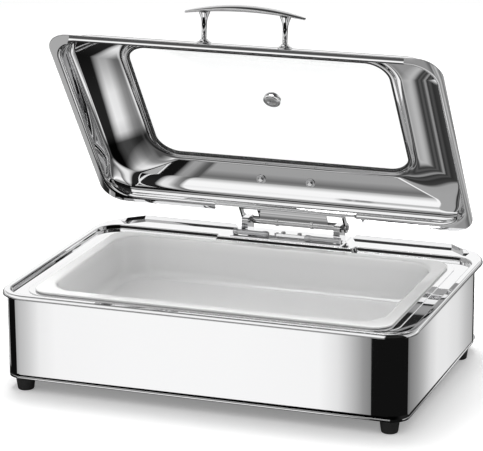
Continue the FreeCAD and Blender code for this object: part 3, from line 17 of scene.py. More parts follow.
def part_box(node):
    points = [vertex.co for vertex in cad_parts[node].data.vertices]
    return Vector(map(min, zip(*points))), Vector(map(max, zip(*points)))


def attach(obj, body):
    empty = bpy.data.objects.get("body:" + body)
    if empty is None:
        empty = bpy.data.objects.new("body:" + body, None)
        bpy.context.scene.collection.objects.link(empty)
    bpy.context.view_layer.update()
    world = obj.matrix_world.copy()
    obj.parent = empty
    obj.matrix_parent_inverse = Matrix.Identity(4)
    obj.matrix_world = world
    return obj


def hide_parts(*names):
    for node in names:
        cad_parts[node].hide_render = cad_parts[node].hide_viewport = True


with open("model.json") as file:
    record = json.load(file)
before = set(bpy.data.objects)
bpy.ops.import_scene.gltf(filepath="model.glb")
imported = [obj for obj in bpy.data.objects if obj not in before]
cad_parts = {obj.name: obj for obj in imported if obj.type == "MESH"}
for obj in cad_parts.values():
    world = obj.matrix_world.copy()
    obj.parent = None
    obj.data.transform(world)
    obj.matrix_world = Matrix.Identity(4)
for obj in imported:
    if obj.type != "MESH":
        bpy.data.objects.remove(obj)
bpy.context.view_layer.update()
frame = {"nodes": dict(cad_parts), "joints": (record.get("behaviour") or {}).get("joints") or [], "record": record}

MM = 0.001
CORNER_STEPS = 20
TONGUE_STEPS = 5
WELD = 0.5e-6
UP = Vector((0, 0, 1))
WHITE = (1, 1, 1, 1)

Piece = bpy.types.Object
Socket = bpy.types.NodeSocket
Stops = Sequence[tuple[float, float]]
Rows = list[tuple[float, ...]]

log = logging.getLogger("bain_marie")


class Slot(Enum):
    """The finishes that the object is made in."""

    MIRROR = "polished_steel"
    SATIN = "satin_steel"
    SCORCHED = "dark_steel"
    PORCELAIN = "porcelain"
    GLASS = "clear_glass"
    RUBBER = "black_rubber"
    SEAL = "black_seal"
    BLACK_PLASTIC = "black_plastic"
    WHITE_PLASTIC = "white_plastic"
    ROCKER = "rocker_red"
    LAMP = "lamp_lens"
    COPPER = "copper_tube"
    BRASS = "brass_pins"


class Body(Enum):
    """The bodies that the scene's own pieces ride on."""

    CASE = "case"
    PAN = "food_pan"
    LID = "lid"


# Outlines and meshes


@dataclass(frozen=True)
class Outline:
    """A level rounded rectangle; a tongue can reach into it from the rear edge."""

    half_x: float
    front: float
    rear: float
    front_r: float
    rear_r: float
    z: float
    tongue_half: float = 110 * MM
    tongue: float = 0.0

    def vector(self) -> Vector:
        """The outline's values as one vector."""
        return Vector([getattr(self, f.name) for f in fields(self)])

    def drawn_in(self, inset: float, z: float) -> "Outline":
        """The same outline at an inset.

        Args:
            inset: how far it is drawn in on all sides; negative grows it.
            z: its height.

        Returns:
            The new outline.
        """
        return Outline(self.half_x - inset, self.front + inset, self.rear - inset, self.front_r - inset,
                       self.rear_r - inset, z, self.tongue_half + inset, self.tongue)

    def points(self) -> list[Vector]:
        """Points round the outline, the same count for every outline."""
        right = self._corner(self.front + self.front_r, self.front_r, -90)
        right += self._corner(self.rear - self.rear_r, self.rear_r, 0)
        right += self._tongue_side()
        return right + [Vector((-p.x, p.y, p.z)) for p in reversed(right)]

    def _corner(self, y: float, radius: float, start: float) -> list[Vector]:
        """Points round a right corner, from a start in degrees."""
        x = self.half_x - radius
        turns = [math.radians(start + 90 * k / CORNER_STEPS) for k in range(CORNER_STEPS + 1)]
        return [Vector((x + radius * math.cos(a), y + radius * math.sin(a), self.z)) for a in turns]

    def _tongue_side(self) -> list[Vector]:
        """Points down the tongue's right side, or along the rear edge where it has no reach."""
        slack = 0.3 * MM
        wide = 3 * MM
        deep = min(wide, self.tongue / 2)
        low = self.rear - self.tongue
        steps = [math.radians(90 * k / TONGUE_STEPS) for k in range(TONGUE_STEPS + 1)]
        outer = [(self.tongue_half + slack + wide * (1 - math.sin(a)), self.rear - deep * (1 - math.cos(a)))
                 for a in steps]
        inner = [(self.tongue_half - slack - wide * (1 - math.cos(a)), low + deep * (1 - math.sin(a)))
                 for a in steps]
        return [Vector((x, y, self.z)) for x, y in outer + inner]


@dataclass(frozen=True)
class Edges:
    """Where an outline of the case runs: its distances inside the edge of the lip, and its corners."""

    side: float
    front: float
    rear: float
    front_r: float
    rear_r: float


def plan_span(step: Vector) -> float:
    """Length of a step between two outlines, across the section."""
    return math.hypot(max(abs(step[0]), abs(step[1])), step[5])


def soften(keys: Sequence[tuple[Vector, float]], ring: bool, span: Callable[[Vector], float],
           steps: int) -> list[Vector]:
    """Rounds the corners of a section.

    Args:
        keys: the section's corners, each with its rounding radius.
        ring: whether the last corner joins the first.
        span: the length of a step between two corners.
        steps: how many steps a rounding has.

    Returns:
        The section with its roundings.
    """
    most = 0.48
    made: list[Vector] = []
    for i, (key, radius) in enumerate(keys):
        inside = ring or 0 < i < len(keys) - 1
        if radius == 0 or not inside:
            made.append(key)
            continue
        before = keys[i - 1][0] - key
        after = keys[(i + 1) % len(keys)][0] - key
        start = key + before * min(radius / span(before), most)
        end = key + after * min(radius / span(after), most)
        for k in range(steps + 1):
            t = k / steps
            made.append(start * (1 - t) ** 2 + key * (2 * t * (1 - t)) + end * t ** 2)
    return made


def placed(name: str, data: bpy.types.ID) -> Piece:
    """Puts a new object with its data into the scene."""
    piece = bpy.data.objects.new(name, data)
    bpy.context.scene.collection.objects.link(piece)
    return piece


def keep_flats(piece: Piece) -> Piece:
    """Lets the large faces lead the shading, so that flats stay flat beside small roundings."""
    weighting = piece.modifiers.new("keep_flats", "WEIGHTED_NORMAL")
    weighting.weight = 90
    weighting.keep_sharp = True
    return piece


def write_back(work: bmesh.types.BMesh, mesh: bpy.types.Mesh) -> None:
    """Writes a worked mesh back with smooth shading, and frees it."""
    for face in work.faces:
        face.smooth = True
    work.to_mesh(mesh)
    work.free()


def mesh_of(name: str, loops: Sequence[Sequence[Vector]], ring: bool) -> Piece:
    """Closed mesh through loops that have equal numbers of points.

    Args:
        name: the piece's name.
        loops: the loops, in order along the surface.
        ring: whether the last loop joins the first; otherwise both ends are capped.

    Returns:
        The new object, with outward faces and smooth shading.
    """
    count = len(loops[0])
    verts = [tuple(point) for loop in loops for point in loop]
    faces: list[tuple[int, ...]] = []
    for i in range(len(loops) if ring else len(loops) - 1):
        a = i * count
        b = ((i + 1) % len(loops)) * count
        faces += [(a + j, a + (j + 1) % count, b + (j + 1) % count, b + j) for j in range(count)]
    if not ring:
        faces += [tuple(range(count)), tuple(range(len(verts) - count, len(verts)))]
    mesh = bpy.data.meshes.new(name)
    mesh.from_pydata(verts, [], faces)
    work = bmesh.new()
    work.from_mesh(mesh)
    bmesh.ops.remove_doubles(work, verts=work.verts, dist=WELD)
    bmesh.ops.dissolve_degenerate(work, edges=work.edges, dist=WELD)
    bmesh.ops.recalc_face_normals(work, faces=work.faces)
    write_back(work, mesh)
    return keep_flats(placed(name, mesh))


def outline_skin(name: str, keys: Sequence[tuple[Outline, float]], steps: int = 6,
                 floor: float | None = None) -> Piece:
    """Pressed or moulded piece: a rounded section carried round a rounded rectangle.

    Args:
        name: the piece's name.
        keys: the section's corners as outlines, each with its rounding radius in millimetres.
        steps: how many steps a rounding has.
        floor: a vessel's lowest height, where its section ends in the two faces of its floor.

    Returns:
        The new object.
    """
    section = soften([(key.vector(), radius * MM) for key, radius in keys], True, plan_span, steps)
    loops = [Outline(*values).points() for values in section]
    if floor is None:
        return mesh_of(name, loops, ring=True)
    split = next(i for i, values in enumerate(section) if values[5] <= floor + 0.1 * MM)
    return mesh_of(name, loops[split:] + loops[:split], ring=False)


def metres(*rows: tuple[float, ...]) -> Rows:
    """Rows of millimetres in metres."""
    return [tuple(value * MM for value in row) for row in rows]


def circles(section: Sequence[Sequence[float]], start: Vector, axis: Vector, across: Vector,
            count: int) -> list[list[Vector]]:
    """Circles round an axis.

    Args:
        section: (radius, height) pairs along the axis.
        start: the point at height zero.
        axis: the unit direction of the axis.
        across: the unit direction of each circle's first point.
        count: how many points a circle has.

    Returns:
        One circle per pair.
    """
    beside = axis.cross(across)
    turns = [2 * math.pi * k / count for k in range(count)]
    return [[start + axis * height + across * (radius * math.cos(a)) + beside * (radius * math.sin(a))
             for a in turns] for radius, height in section]


def turned(name: str, profile: Rows, start: Vector, axis: Vector, ring: bool = True) -> Piece:
    """Turned piece.

    Args:
        name: the piece's name.
        profile: (radius, height, rounding) for each corner of the half section.
        start: the point at height zero.
        axis: the unit direction of the axis.
        ring: whether the section closes on itself, as round a bore.

    Returns:
        The new object.
    """
    keys = [(Vector((radius, height)), rounding) for radius, height, rounding in profile]
    section = soften(keys, ring, lambda step: step.length, 4)
    return mesh_of(name, circles(section, start, axis, axis.orthogonal().normalized(), 48), ring)


def ease_edges(mesh: bpy.types.Mesh, width: float, steps: int) -> None:
    """Rounds every edge of a plain faceted mesh.

    Args:
        mesh: the mesh.
        width: the width of the roundings.
        steps: how many steps a rounding has.
    """
    flat = 0.05
    work = bmesh.new()
    work.from_mesh(mesh)
    edges = [edge for edge in work.edges if edge.calc_face_angle(0.0) > flat]
    bmesh.ops.bevel(work, geom=edges, offset=width, offset_type="OFFSET", segments=steps,
                    profile=0.5, affect="EDGES", clamp_overlap=True)
    write_back(work, mesh)


def joined(name: str, pieces: Sequence[Piece]) -> Piece:
    """Several separate shapes as one new piece; the shapes are used up."""
    work = bmesh.new()
    for piece in pieces:
        work.from_mesh(piece.data)
        bpy.data.objects.remove(piece)
    mesh = bpy.data.meshes.new(name)
    write_back(work, mesh)
    return keep_flats(placed(name, mesh))


# Finishes


class Mix(Enum):
    """Kinds of mix node: type, settings, inputs for share, first and second, and output."""

    SHADER = ("ShaderNodeMixShader", {}, (0, 1, 2), 0)
    TONE = ("ShaderNodeMix", {"data_type": "FLOAT"}, (0, 2, 3), 0)
    COLOUR = ("ShaderNodeMix", {"data_type": "RGBA"}, (0, 6, 7), 2)


class Graph:
    """Short-hand for building a node tree."""

    def __init__(self, tree: bpy.types.NodeTree) -> None:
        """Keeps the tree and empties it."""
        self.tree = tree
        tree.nodes.clear()

    @classmethod
    def of(cls, owner: bpy.types.ID) -> "Graph":
        """The emptied tree of a material or a world."""
        owner.use_nodes = True
        return cls(owner.node_tree)

    def node(self, kind: str, settings: dict[str, object] | None = None, **inputs: object) -> bpy.types.Node:
        """Adds a node.

        Args:
            kind: the node's type.
            settings: its properties.
            inputs: values or sockets for its inputs, with _ for a space in a name.

        Returns:
            The new node.
        """
        made = self.tree.nodes.new(kind)
        for name, value in (settings or {}).items():
            setattr(made, name, value)
        for name, value in inputs.items():
            self.feed(made.inputs[name.replace("_", " ")], value)
        return made

    def feed(self, socket: Socket, value: object) -> None:
        """Sets an input to a value, or links it to another node's output."""
        if isinstance(value, Socket):
            self.tree.links.new(value, socket)
        else:
            socket.default_value = value

    def math(self, operation: str, *values: object) -> Socket:
        """Adds a math node for the values, in order, and returns its result."""
        made = self.node("ShaderNodeMath", {"operation": operation})
        for socket, value in zip(made.inputs, values):
            self.feed(socket, value)
        return made.outputs[0]

    def mix(self, kind: Mix, *values: object) -> Socket:
        """Adds a mix.

        Args:
            kind: what it mixes.
            values: the share of the second, the first and the second.

        Returns:
            The mixture.
        """
        type_name, settings, places, result = kind.value
        made = self.node(type_name, settings)
        for place, value in zip(places, values):
            self.feed(made.inputs[place], value)
        return made.outputs[result]

    def ramp(self, value: Socket, stops: Stops) -> Socket:
        """Adds a grey ramp with (place, grey) stops, and returns the grey at a value."""
        made = self.node("ShaderNodeValToRGB")
        elements = made.color_ramp.elements
        while len(elements) < len(stops):
            elements.new(0.5)
        for element, (place, grey) in zip(elements, stops):
            element.position = place
            element.color = (grey, grey, grey, 1)
        self.feed(made.inputs[0], value)
        return made.outputs[0]

    def bands(self, value: Socket, stops: Stops) -> Socket:
        """Adds a grey ramp along a value in metres, with the stops' places in millimetres."""
        low, high = stops[0][0], stops[-1][0]
        along = self.node("ShaderNodeMapRange", Value=value, From_Min=low * MM, From_Max=high * MM)
        return self.ramp(along.outputs[0], [((mm - low) / (high - low), tone) for mm, tone in stops])

    def axes(self, space: str = "Object") -> list[Socket]:
        """The X, Y and Z of a place or a direction."""
        given = self.node("ShaderNodeTexCoord").outputs[space]
        return list(self.node("ShaderNodeSeparateXYZ", Vector=given).outputs)

    def noise(self, place: Socket, scale: object, detail: float, roughness: float = 0.5) -> Socket:
        """Noise at a place."""
        return self.node("ShaderNodeTexNoise", Vector=place, Scale=scale, Detail=detail,
                         Roughness=roughness).outputs[0]

    def streaks(self, place: Socket, factors: tuple[float, float, float], turn: float) -> Socket:
        """Coordinates turned about Z and stretched, for streaks."""
        return self.node("ShaderNodeMapping", Vector=place, Scale=factors, Rotation=(0, 0, turn)).outputs[0]

    def cells(self, place: Socket, scale: object) -> Socket:
        """Distance from the middle of the nearest cell at a place."""
        return self.node("ShaderNodeTexVoronoi", Vector=place, Scale=scale).outputs["Distance"]

    def glow(self, strength: object) -> Socket:
        """Adds a white emission."""
        return self.node("ShaderNodeEmission", Color=WHITE, Strength=strength).outputs[0]

    def put_out(self, shader: Socket, kind: str = "ShaderNodeOutputMaterial") -> None:
        """Adds the tree's output for a shader."""
        self.feed(self.node(kind).inputs[0], shader)


class Effect(Enum):
    """Surface effects that several finishes share, each a node group that puts out values only."""

    POLISH = "polish_marks"
    GRAIN = "brushed_grain"
    SKIN = "moulded_skin"
    GLAZE = "glaze_ripple"

    def group(self) -> bpy.types.NodeTree:
        """The effect's node group, built once."""
        found = bpy.data.node_groups.get(self.value)
        if found:
            return found
        tree = bpy.data.node_groups.new(self.value, "ShaderNodeTree")
        for name in ("Scale", "Amount"):
            socket = tree.interface.new_socket(name=name, in_out="INPUT", socket_type="NodeSocketFloat")
            socket.default_value = 1.0
        for name in ("Mask", "Height"):
            tree.interface.new_socket(name=name, in_out="OUTPUT", socket_type="NodeSocketFloat")
        graph = Graph(tree)
        given = graph.node("NodeGroupInput")
        out = graph.node("NodeGroupOutput")
        place = graph.node("ShaderNodeTexCoord").outputs["Object"]
        builder = {Effect.POLISH: _polish, Effect.GRAIN: _grain, Effect.SKIN: _skin, Effect.GLAZE: _glaze}[self]
        for name, value in zip(("Mask", "Height"), builder(graph, place, given.outputs["Scale"])):
            graph.feed(out.inputs[name], graph.math("MULTIPLY", value, given.outputs["Amount"]))
        return tree


def _polish(graph: Graph, place: Socket, scale: Socket) -> tuple[Socket, Socket]:
    """Hairlines of the polishing mop in two directions, over a faint haze."""
    one = graph.noise(graph.streaks(place, (6, 260, 260), 0.35), scale, 2)
    other = graph.noise(graph.streaks(place, (300, 8, 300), -0.2), scale, 2)
    lines = graph.math("POWER", graph.math("MAXIMUM", one, other), 5.0)
    haze = graph.noise(place, graph.math("MULTIPLY", scale, 9.0), 4, 0.6)
    return graph.mix(Mix.TONE, 0.3, lines, haze), lines


def _grain(graph: Graph, place: Socket, scale: Socket) -> tuple[Socket, Socket]:
    """Straight satin grain with short breaks."""
    fine = graph.noise(graph.streaks(place, (18, 900, 900), 0.0), scale, 4, 0.7)
    broad = graph.noise(graph.streaks(place, (5, 120, 120), 0.0), scale, 2)
    return graph.mix(Mix.TONE, 0.3, fine, broad), fine


def _skin(graph: Graph, place: Socket, scale: Socket) -> tuple[Socket, Socket]:
    """Fine spark-eroded texture of a mould, with faint wear."""
    wear = graph.noise(place, graph.math("MULTIPLY", scale, 60.0), 5, 0.65)
    return wear, graph.cells(place, graph.math("MULTIPLY", scale, 1600.0))


def _glaze(graph: Graph, place: Socket, scale: Socket) -> tuple[Socket, Socket]:
    """Slow ripple of a fired glaze with a few pinholes."""
    wave = graph.noise(place, graph.math("MULTIPLY", scale, 14.0), 2, 0.4)
    ripple = graph.math("MULTIPLY", wave, 0.15)
    pin = graph.math("LESS_THAN", graph.cells(place, graph.math("MULTIPLY", scale, 220.0)), 0.035)
    return graph.mix(Mix.TONE, 0.2, ripple, pin), ripple


@dataclass(frozen=True)
class Finish:
    """How one finish looks: its own values and the effect that runs over it."""

    slot: Slot
    colour: tuple[float, float, float]
    shade: tuple[float, float, float]
    roughness: float
    rougher: float
    effect: Effect
    bump: float = 0.0
    metallic: float = 0.0
    coat: float = 0.0
    transmission: float = 0.0
    ior: float = 1.5
    glow: float = 0.0
    # deep, when given, is painted shade: (low, high) heights; below high the colour darkens towards the shade and
    # roughens, fully so at low.
    deep: tuple[float, float] | None = None

    def material(self) -> bpy.types.Material:
        """Builds the material, with its colour, roughness and bump from the effect, and painted shade further down
        where deep is given.
        """
        made = bpy.data.materials.new("finish_" + self.slot.value)
        graph = Graph.of(made)
        effect = graph.node("ShaderNodeGroup", {"node_tree": self.effect.group()}, Scale=1.0, Amount=1.0)
        mask = effect.outputs["Mask"]
        # Painted shade: darker and rougher from the high height down to the low one.
        if self.deep:
            low, high = self.deep
            painted_cavity_shade = graph.node("ShaderNodeMapRange", Value=graph.axes()[2], From_Min=high, From_Max=low)
            mask = graph.math("MAXIMUM", mask, painted_cavity_shade.outputs[0])
        colour = graph.mix(Mix.COLOUR, mask, (*self.colour, 1), (*self.shade, 1))
        rough = graph.node("ShaderNodeMapRange", Value=mask, To_Min=self.roughness, To_Max=self.rougher)
        shader = graph.node("ShaderNodeBsdfPrincipled", Base_Color=colour, Roughness=rough.outputs[0],
                            Metallic=self.metallic, IOR=self.ior)
        shader.inputs["Coat Weight"].default_value = self.coat
        shader.inputs["Coat Roughness"].default_value = 0.04
        shader.inputs["Transmission Weight"].default_value = self.transmission
        if self.glow:
            shader.inputs["Emission Color"].default_value = (*self.colour, 1)
            shader.inputs["Emission Strength"].default_value = self.glow
        if self.bump:
            bump = graph.node("ShaderNodeBump", Height=effect.outputs["Height"], Strength=self.bump,
                              Distance=0.2 * MM)
            graph.feed(shader.inputs["Normal"], bump.outputs[0])
        graph.put_out(shader.outputs[0])
        return made


FINISHES = (
    Finish(Slot.MIRROR, (0.93, 0.93, 0.935), (0.90, 0.90, 0.905), 0.018, 0.05, Effect.POLISH,
           metallic=1.0, bump=0.01),
    Finish(Slot.SATIN, (0.74, 0.74, 0.75), (0.62, 0.62, 0.63), 0.24, 0.42, Effect.GRAIN, metallic=1.0, bump=0.12),
    Finish(Slot.SCORCHED, (0.24, 0.22, 0.21), (0.34, 0.25, 0.18), 0.35, 0.6, Effect.GRAIN, metallic=1.0, bump=0.1),
    # The porcelain's deep setting is painted shade: below the rim the pan darkens, fully so under 130 mm, so its
    # inside shows greyer than its rim.
    Finish(Slot.PORCELAIN, (0.93, 0.93, 0.925), (0.86, 0.86, 0.86), 0.16, 0.24, Effect.GLAZE,
           coat=0.5, bump=0.03, deep=(130 * MM, 144 * MM)),
    Finish(Slot.GLASS, (0.985, 0.99, 0.99), (0.98, 0.985, 0.985), 0.0, 0.01, Effect.GLAZE,
           transmission=1.0, ior=1.45),
    Finish(Slot.RUBBER, (0.012, 0.012, 0.012), (0.022, 0.022, 0.022), 0.55, 0.8, Effect.SKIN, bump=0.3),
    Finish(Slot.SEAL, (0.02, 0.02, 0.02), (0.035, 0.035, 0.035), 0.5, 0.7, Effect.SKIN, bump=0.2),
    Finish(Slot.BLACK_PLASTIC, (0.022, 0.022, 0.023), (0.04, 0.04, 0.04), 0.34, 0.5, Effect.SKIN, bump=0.25),
    Finish(Slot.WHITE_PLASTIC, (0.82, 0.81, 0.77), (0.74, 0.73, 0.69), 0.35, 0.5, Effect.SKIN, bump=0.2),
    Finish(Slot.ROCKER, (0.55, 0.03, 0.025), (0.42, 0.02, 0.02), 0.18, 0.3, Effect.SKIN, bump=0.05, coat=0.3),
    Finish(Slot.LAMP, (0.85, 0.28, 0.05), (0.7, 0.2, 0.04), 0.1, 0.2, Effect.SKIN, coat=0.5, glow=0.15),
    Finish(Slot.COPPER, (0.80, 0.42, 0.28), (0.62, 0.30, 0.20), 0.2, 0.4, Effect.GRAIN, metallic=1.0, bump=0.05),
    Finish(Slot.BRASS, (0.82, 0.62, 0.28), (0.68, 0.50, 0.22), 0.2, 0.4, Effect.GRAIN, metallic=1.0, bump=0.05),
)


class Palette:
    """Every finish's material, built once."""

    def __init__(self) -> None:
        """Builds the materials."""
        self.made = {finish.slot: finish.material() for finish in FINISHES}

    def dress(self, piece: Piece, slot: Slot) -> None:
        """Gives a piece a finish."""
        piece.data.materials.clear()
        piece.data.materials.append(self.made[slot])
        for face in piece.data.polygons:
            face.material_index = 0

    def fit(self, piece: Piece, slot: Slot, body: Body, *nodes: str) -> None:
        """Dresses a piece, lets it ride on its body and reports it.

        Args:
            piece: the piece.
            slot: its finish.
            body: the body that it rides on.
            nodes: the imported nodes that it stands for.
        """
        self.dress(piece, slot)
        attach(piece, body.value)
        if nodes:
            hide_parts(*nodes)
        log.info("%s: %s, on %s, %d faces", piece.name, slot.value, body.value, len(piece.data.polygons))


# The case


@dataclass
class Case:
    """Deck with its flared lip and sunken ledge, the skirt below it, and the feet."""

    palette: Palette
    sheet: float = 1.2 * MM
    lip_edges: Edges = Edges(0.0, 0.0, 0.0, 45 * MM, 70 * MM)
    lip_drop: float = 6 * MM
    lip_flare: float = 3 * MM
    skirt_edges: Edges = Edges(10.5 * MM, 9.5 * MM, 7.5 * MM, 25 * MM, 68 * MM)
    skirt_low: float = 19.6 * MM
    hem: float = 5 * MM
    recess_edges: Edges = Edges(12.5 * MM, 13 * MM, 55 * MM, 33 * MM, 33 * MM)
    recess_depth: float = 6 * MM
    recess_draft: float = 1.6 * MM
    tongue_half: float = 110 * MM
    tongue_reach: float = 10.5 * MM
    well_edges: Edges = Edges(50.3 * MM, 41.8 * MM, 86.8 * MM, 54.5 * MM, 54.5 * MM)
    collar_drop: float = 10 * MM
    bead_height: float = 5 * MM
    bead_depth: float = 7 * MM
    bead_slant: float = 2.2 * MM
    bead_back: float = 5.5 * MM
    bead_bend: float = 60.5 * MM
    bead_end: float = 36.5 * MM
    bead_fall: float = 22 * MM
    bead_overrun: float = 4.5 * MM
    bead_clear: float = 5 * MM
    bead_cut: float = 5 * MM
    foot_bore: float = 2.6 * MM
    foot_sink: float = 5 * MM
    foot_sink_deep: float = 6 * MM
    foot_tread: float = 11.6 * MM
    foot_top: float = 14.7 * MM

    def __post_init__(self) -> None:
        """Reads the case's reach from the frame."""
        low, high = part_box("top_frame")
        self.half_x = high.x
        self.front = low.y
        self.rear = high.y
        self.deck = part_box("hinge_plate")[0].z
        self.ledge = self.deck - self.recess_depth

    def around(self, edges: Edges, inset: float, z: float) -> Outline:
        """Outline without the tongue.

        Args:
            edges: where it runs.
            inset: how far it is drawn in; negative grows it.
            z: its height.

        Returns:
            The outline.
        """
        return Outline(self.half_x - edges.side - inset, self.front + edges.front + inset,
                       self.rear - edges.rear - inset, edges.front_r - inset, edges.rear_r - inset, z,
                       self.tongue_half)

    def lip(self, inset: float, z: float) -> Outline:
        """Outline of the case at an inset from the edge of the lip."""
        return self.around(self.lip_edges, inset, z)

    def well(self, grow: float, z: float) -> Outline:
        """Outline of the well for the pans, grown outwards."""
        return self.around(self.well_edges, -grow, z)

    def skirt_line(self, inset: float, z: float) -> Outline:
        """Outline of the skirt at an inset from its outer face."""
        return self.around(self.skirt_edges, inset, z)

    def recess(self, grow: float, z: float) -> Outline:
        """Outline of the sunken ledge's space, with the hinge tongue, grown outwards."""
        plain = self.around(self.recess_edges, -grow, z)
        return replace(plain, tongue_half=self.tongue_half - grow, tongue=self.tongue_reach)

    def build(self) -> None:
        """Builds the case's pieces."""
        self.top_frame()
        self.beads()
        self.skirt()
        self.inner_sheets()
        self.feet()

    def top_frame(self) -> None:
        """Pressed deck: lip, ledge and collar in one sheet."""
        lip, recess, well = self.lip, self.recess, self.well
        hold = 3 * MM
        low = self.deck - self.lip_drop
        under = self.deck - self.sheet
        ledge_under = self.ledge - self.sheet
        collar = ledge_under - self.collar_drop
        keys = [
            (lip(1.9 * MM, low), 0.3),
            (lip(0, low), 0.7),
            (lip(0.5 * MM, low + 2.6 * MM), 1.2),
            (lip(self.lip_flare - 0.3 * MM, self.deck), 2.3),
            (lip(self.lip_flare + hold, self.deck), 0.0),
            (recess(hold + self.recess_draft, self.deck), 0.0),
            (recess(self.recess_draft, self.deck), 1.0),
            (recess(0, self.ledge), 0.9),
            (recess(-hold, self.ledge), 0.0),
            (well(hold, self.ledge), 0.0),
            (well(0, self.ledge), 1.2),
            (well(0, collar), 0.0),
            (well(self.sheet, collar), 0.0),
            (well(self.sheet, ledge_under), 0.0),
            (recess(self.sheet, ledge_under), 0.0),
            (recess(self.sheet + self.recess_draft, under), 0.0),
            (lip(self.lip_flare + self.sheet, under), 0.0),
            (lip(2.1 * MM, low + 1.4 * MM), 0.2),
        ]
        self.palette.fit(outline_skin("top_frame_skin", keys), Slot.MIRROR, Body.CASE, "top_frame")

    def bead_plan(self, inset: float) -> list[Vector]:
        """Plan of the bead's right half at an inset from its foot."""
        wide = self.bead_depth - 2 * inset
        back = self.rear - self.bead_back - inset
        fore = back - wide
        at_bend, at_end, at_fall = 0.4 * inset, 1.2 * inset, 0.8 * inset
        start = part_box("hinge_plate")[1].x + self.bead_clear + inset
        bend = self.half_x - self.bead_bend - at_bend
        fall = self.bead_fall - at_fall
        end = Vector((self.half_x - self.bead_end - at_end, fore - fall))
        turn = math.atan2(fall, end.x - bend)
        run = Vector((math.cos(turn), -math.sin(turn)))
        return [Vector((start, fore)), Vector((bend, fore)), end,
                end + Vector((-run.y, run.x)) * wide + run * self.bead_overrun,
                Vector((bend + wide * math.tan(turn / 2), back)), Vector((start + self.bead_cut, back))]

    def beads(self) -> None:
        """Raised bead with slanted faces along the rear of the deck, in two halves."""
        foot = self.bead_plan(0)
        crest = self.bead_plan(self.bead_slant)
        levels = ((foot, self.deck - 0.4 * MM), (foot, self.deck), (crest, self.deck + self.bead_height))
        for side, name in ((-1, "rear_bead_left"), (1, "rear_bead_right")):
            loops = [[Vector((side * p.x, p.y, z)) for p in plan] for plan, z in levels]
            piece = mesh_of(name, loops, ring=False)
            ease_edges(piece.data, 0.7 * MM, 4)
            self.palette.fit(piece, Slot.MIRROR, Body.CASE)

    def skirt(self) -> None:
        """Skirt strip round the front, the sides and all four corners, over a turned-in hem all round."""
        bottom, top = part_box("skirt_front")
        seam = bottom.z + 0.1 * MM
        sheet = self.sheet
        section = ((0, seam), (0, top.z), (sheet, top.z), (sheet, seam))
        loops = [self.skirt_line(inset, z).points() for inset, z in section]
        first = 2 * (CORNER_STEPS + 1) - 1
        last = first + 4 * (TONGUE_STEPS + 1) + 1
        cut = [loop[last:] + loop[:first + 1] for loop in loops]
        piece = mesh_of("skirt_wrap", [list(points) for points in zip(*cut)], ring=False)
        self.palette.fit(piece, Slot.MIRROR, Body.CASE, "skirt_front", "skirt_left", "skirt_right", "skirt_corners")
        low = self.skirt_low
        over = low + 1.2 * MM
        hem = [(self.skirt_line(inset, z), rounding) for inset, z, rounding in (
            (0, seam, 0.0), (sheet, seam, 0.0), (sheet, over, 0.3), (self.hem, over, 0.0),
            (self.hem, low, 0.0), (0, low, 0.5))]
        self.palette.fit(outline_skin("skirt_hem", hem, steps=4), Slot.MIRROR, Body.CASE)

    def inner_sheets(self) -> None:
        """Base plate, rails and brackets, drawn in with the skirt that they meet."""
        room = self.skirt_line(self.sheet + 0.1 * MM, 0.0)
        for node in ("base_plate", "base_rails", "frame_brackets"):
            source = frame["nodes"][node]
            mesh = source.data.copy()
            mesh.transform(source.matrix_world)
            for vertex in mesh.vertices:
                vertex.co.x = max(-room.half_x, min(room.half_x, vertex.co.x))
                vertex.co.y = max(room.front, vertex.co.y)
            self.palette.fit(placed(node + "_fitted", mesh), Slot.SATIN, Body.CASE, node)

    def feet(self) -> None:
        """Tapered rubber feet with a rounded tread and a counterbore."""
        for name in ("front_left", "front_right", "rear_left", "rear_right"):
            low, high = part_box("foot_" + name)
            centre = Vector(((low.x + high.x) / 2, (low.y + high.y) / 2, low.z))
            top = high.z - low.z
            profile = [(self.foot_bore, self.foot_sink_deep, 0.0), (self.foot_sink, self.foot_sink_deep, 0.3 * MM),
                       (self.foot_sink, 0, 0.5 * MM), (self.foot_tread, 0, 2.0 * MM),
                       (self.foot_top - 0.3 * MM, top - 2 * MM, 0.5 * MM), (self.foot_top, top - 1 * MM, 0.3 * MM),
                       (self.foot_top, top, 0.3 * MM), (self.foot_bore, top, 0.0)]
            piece = turned("rubber_foot_" + name, profile, centre, UP)
            self.palette.fit(piece, Slot.RUBBER, Body.CASE, "foot_" + name)


# The pans


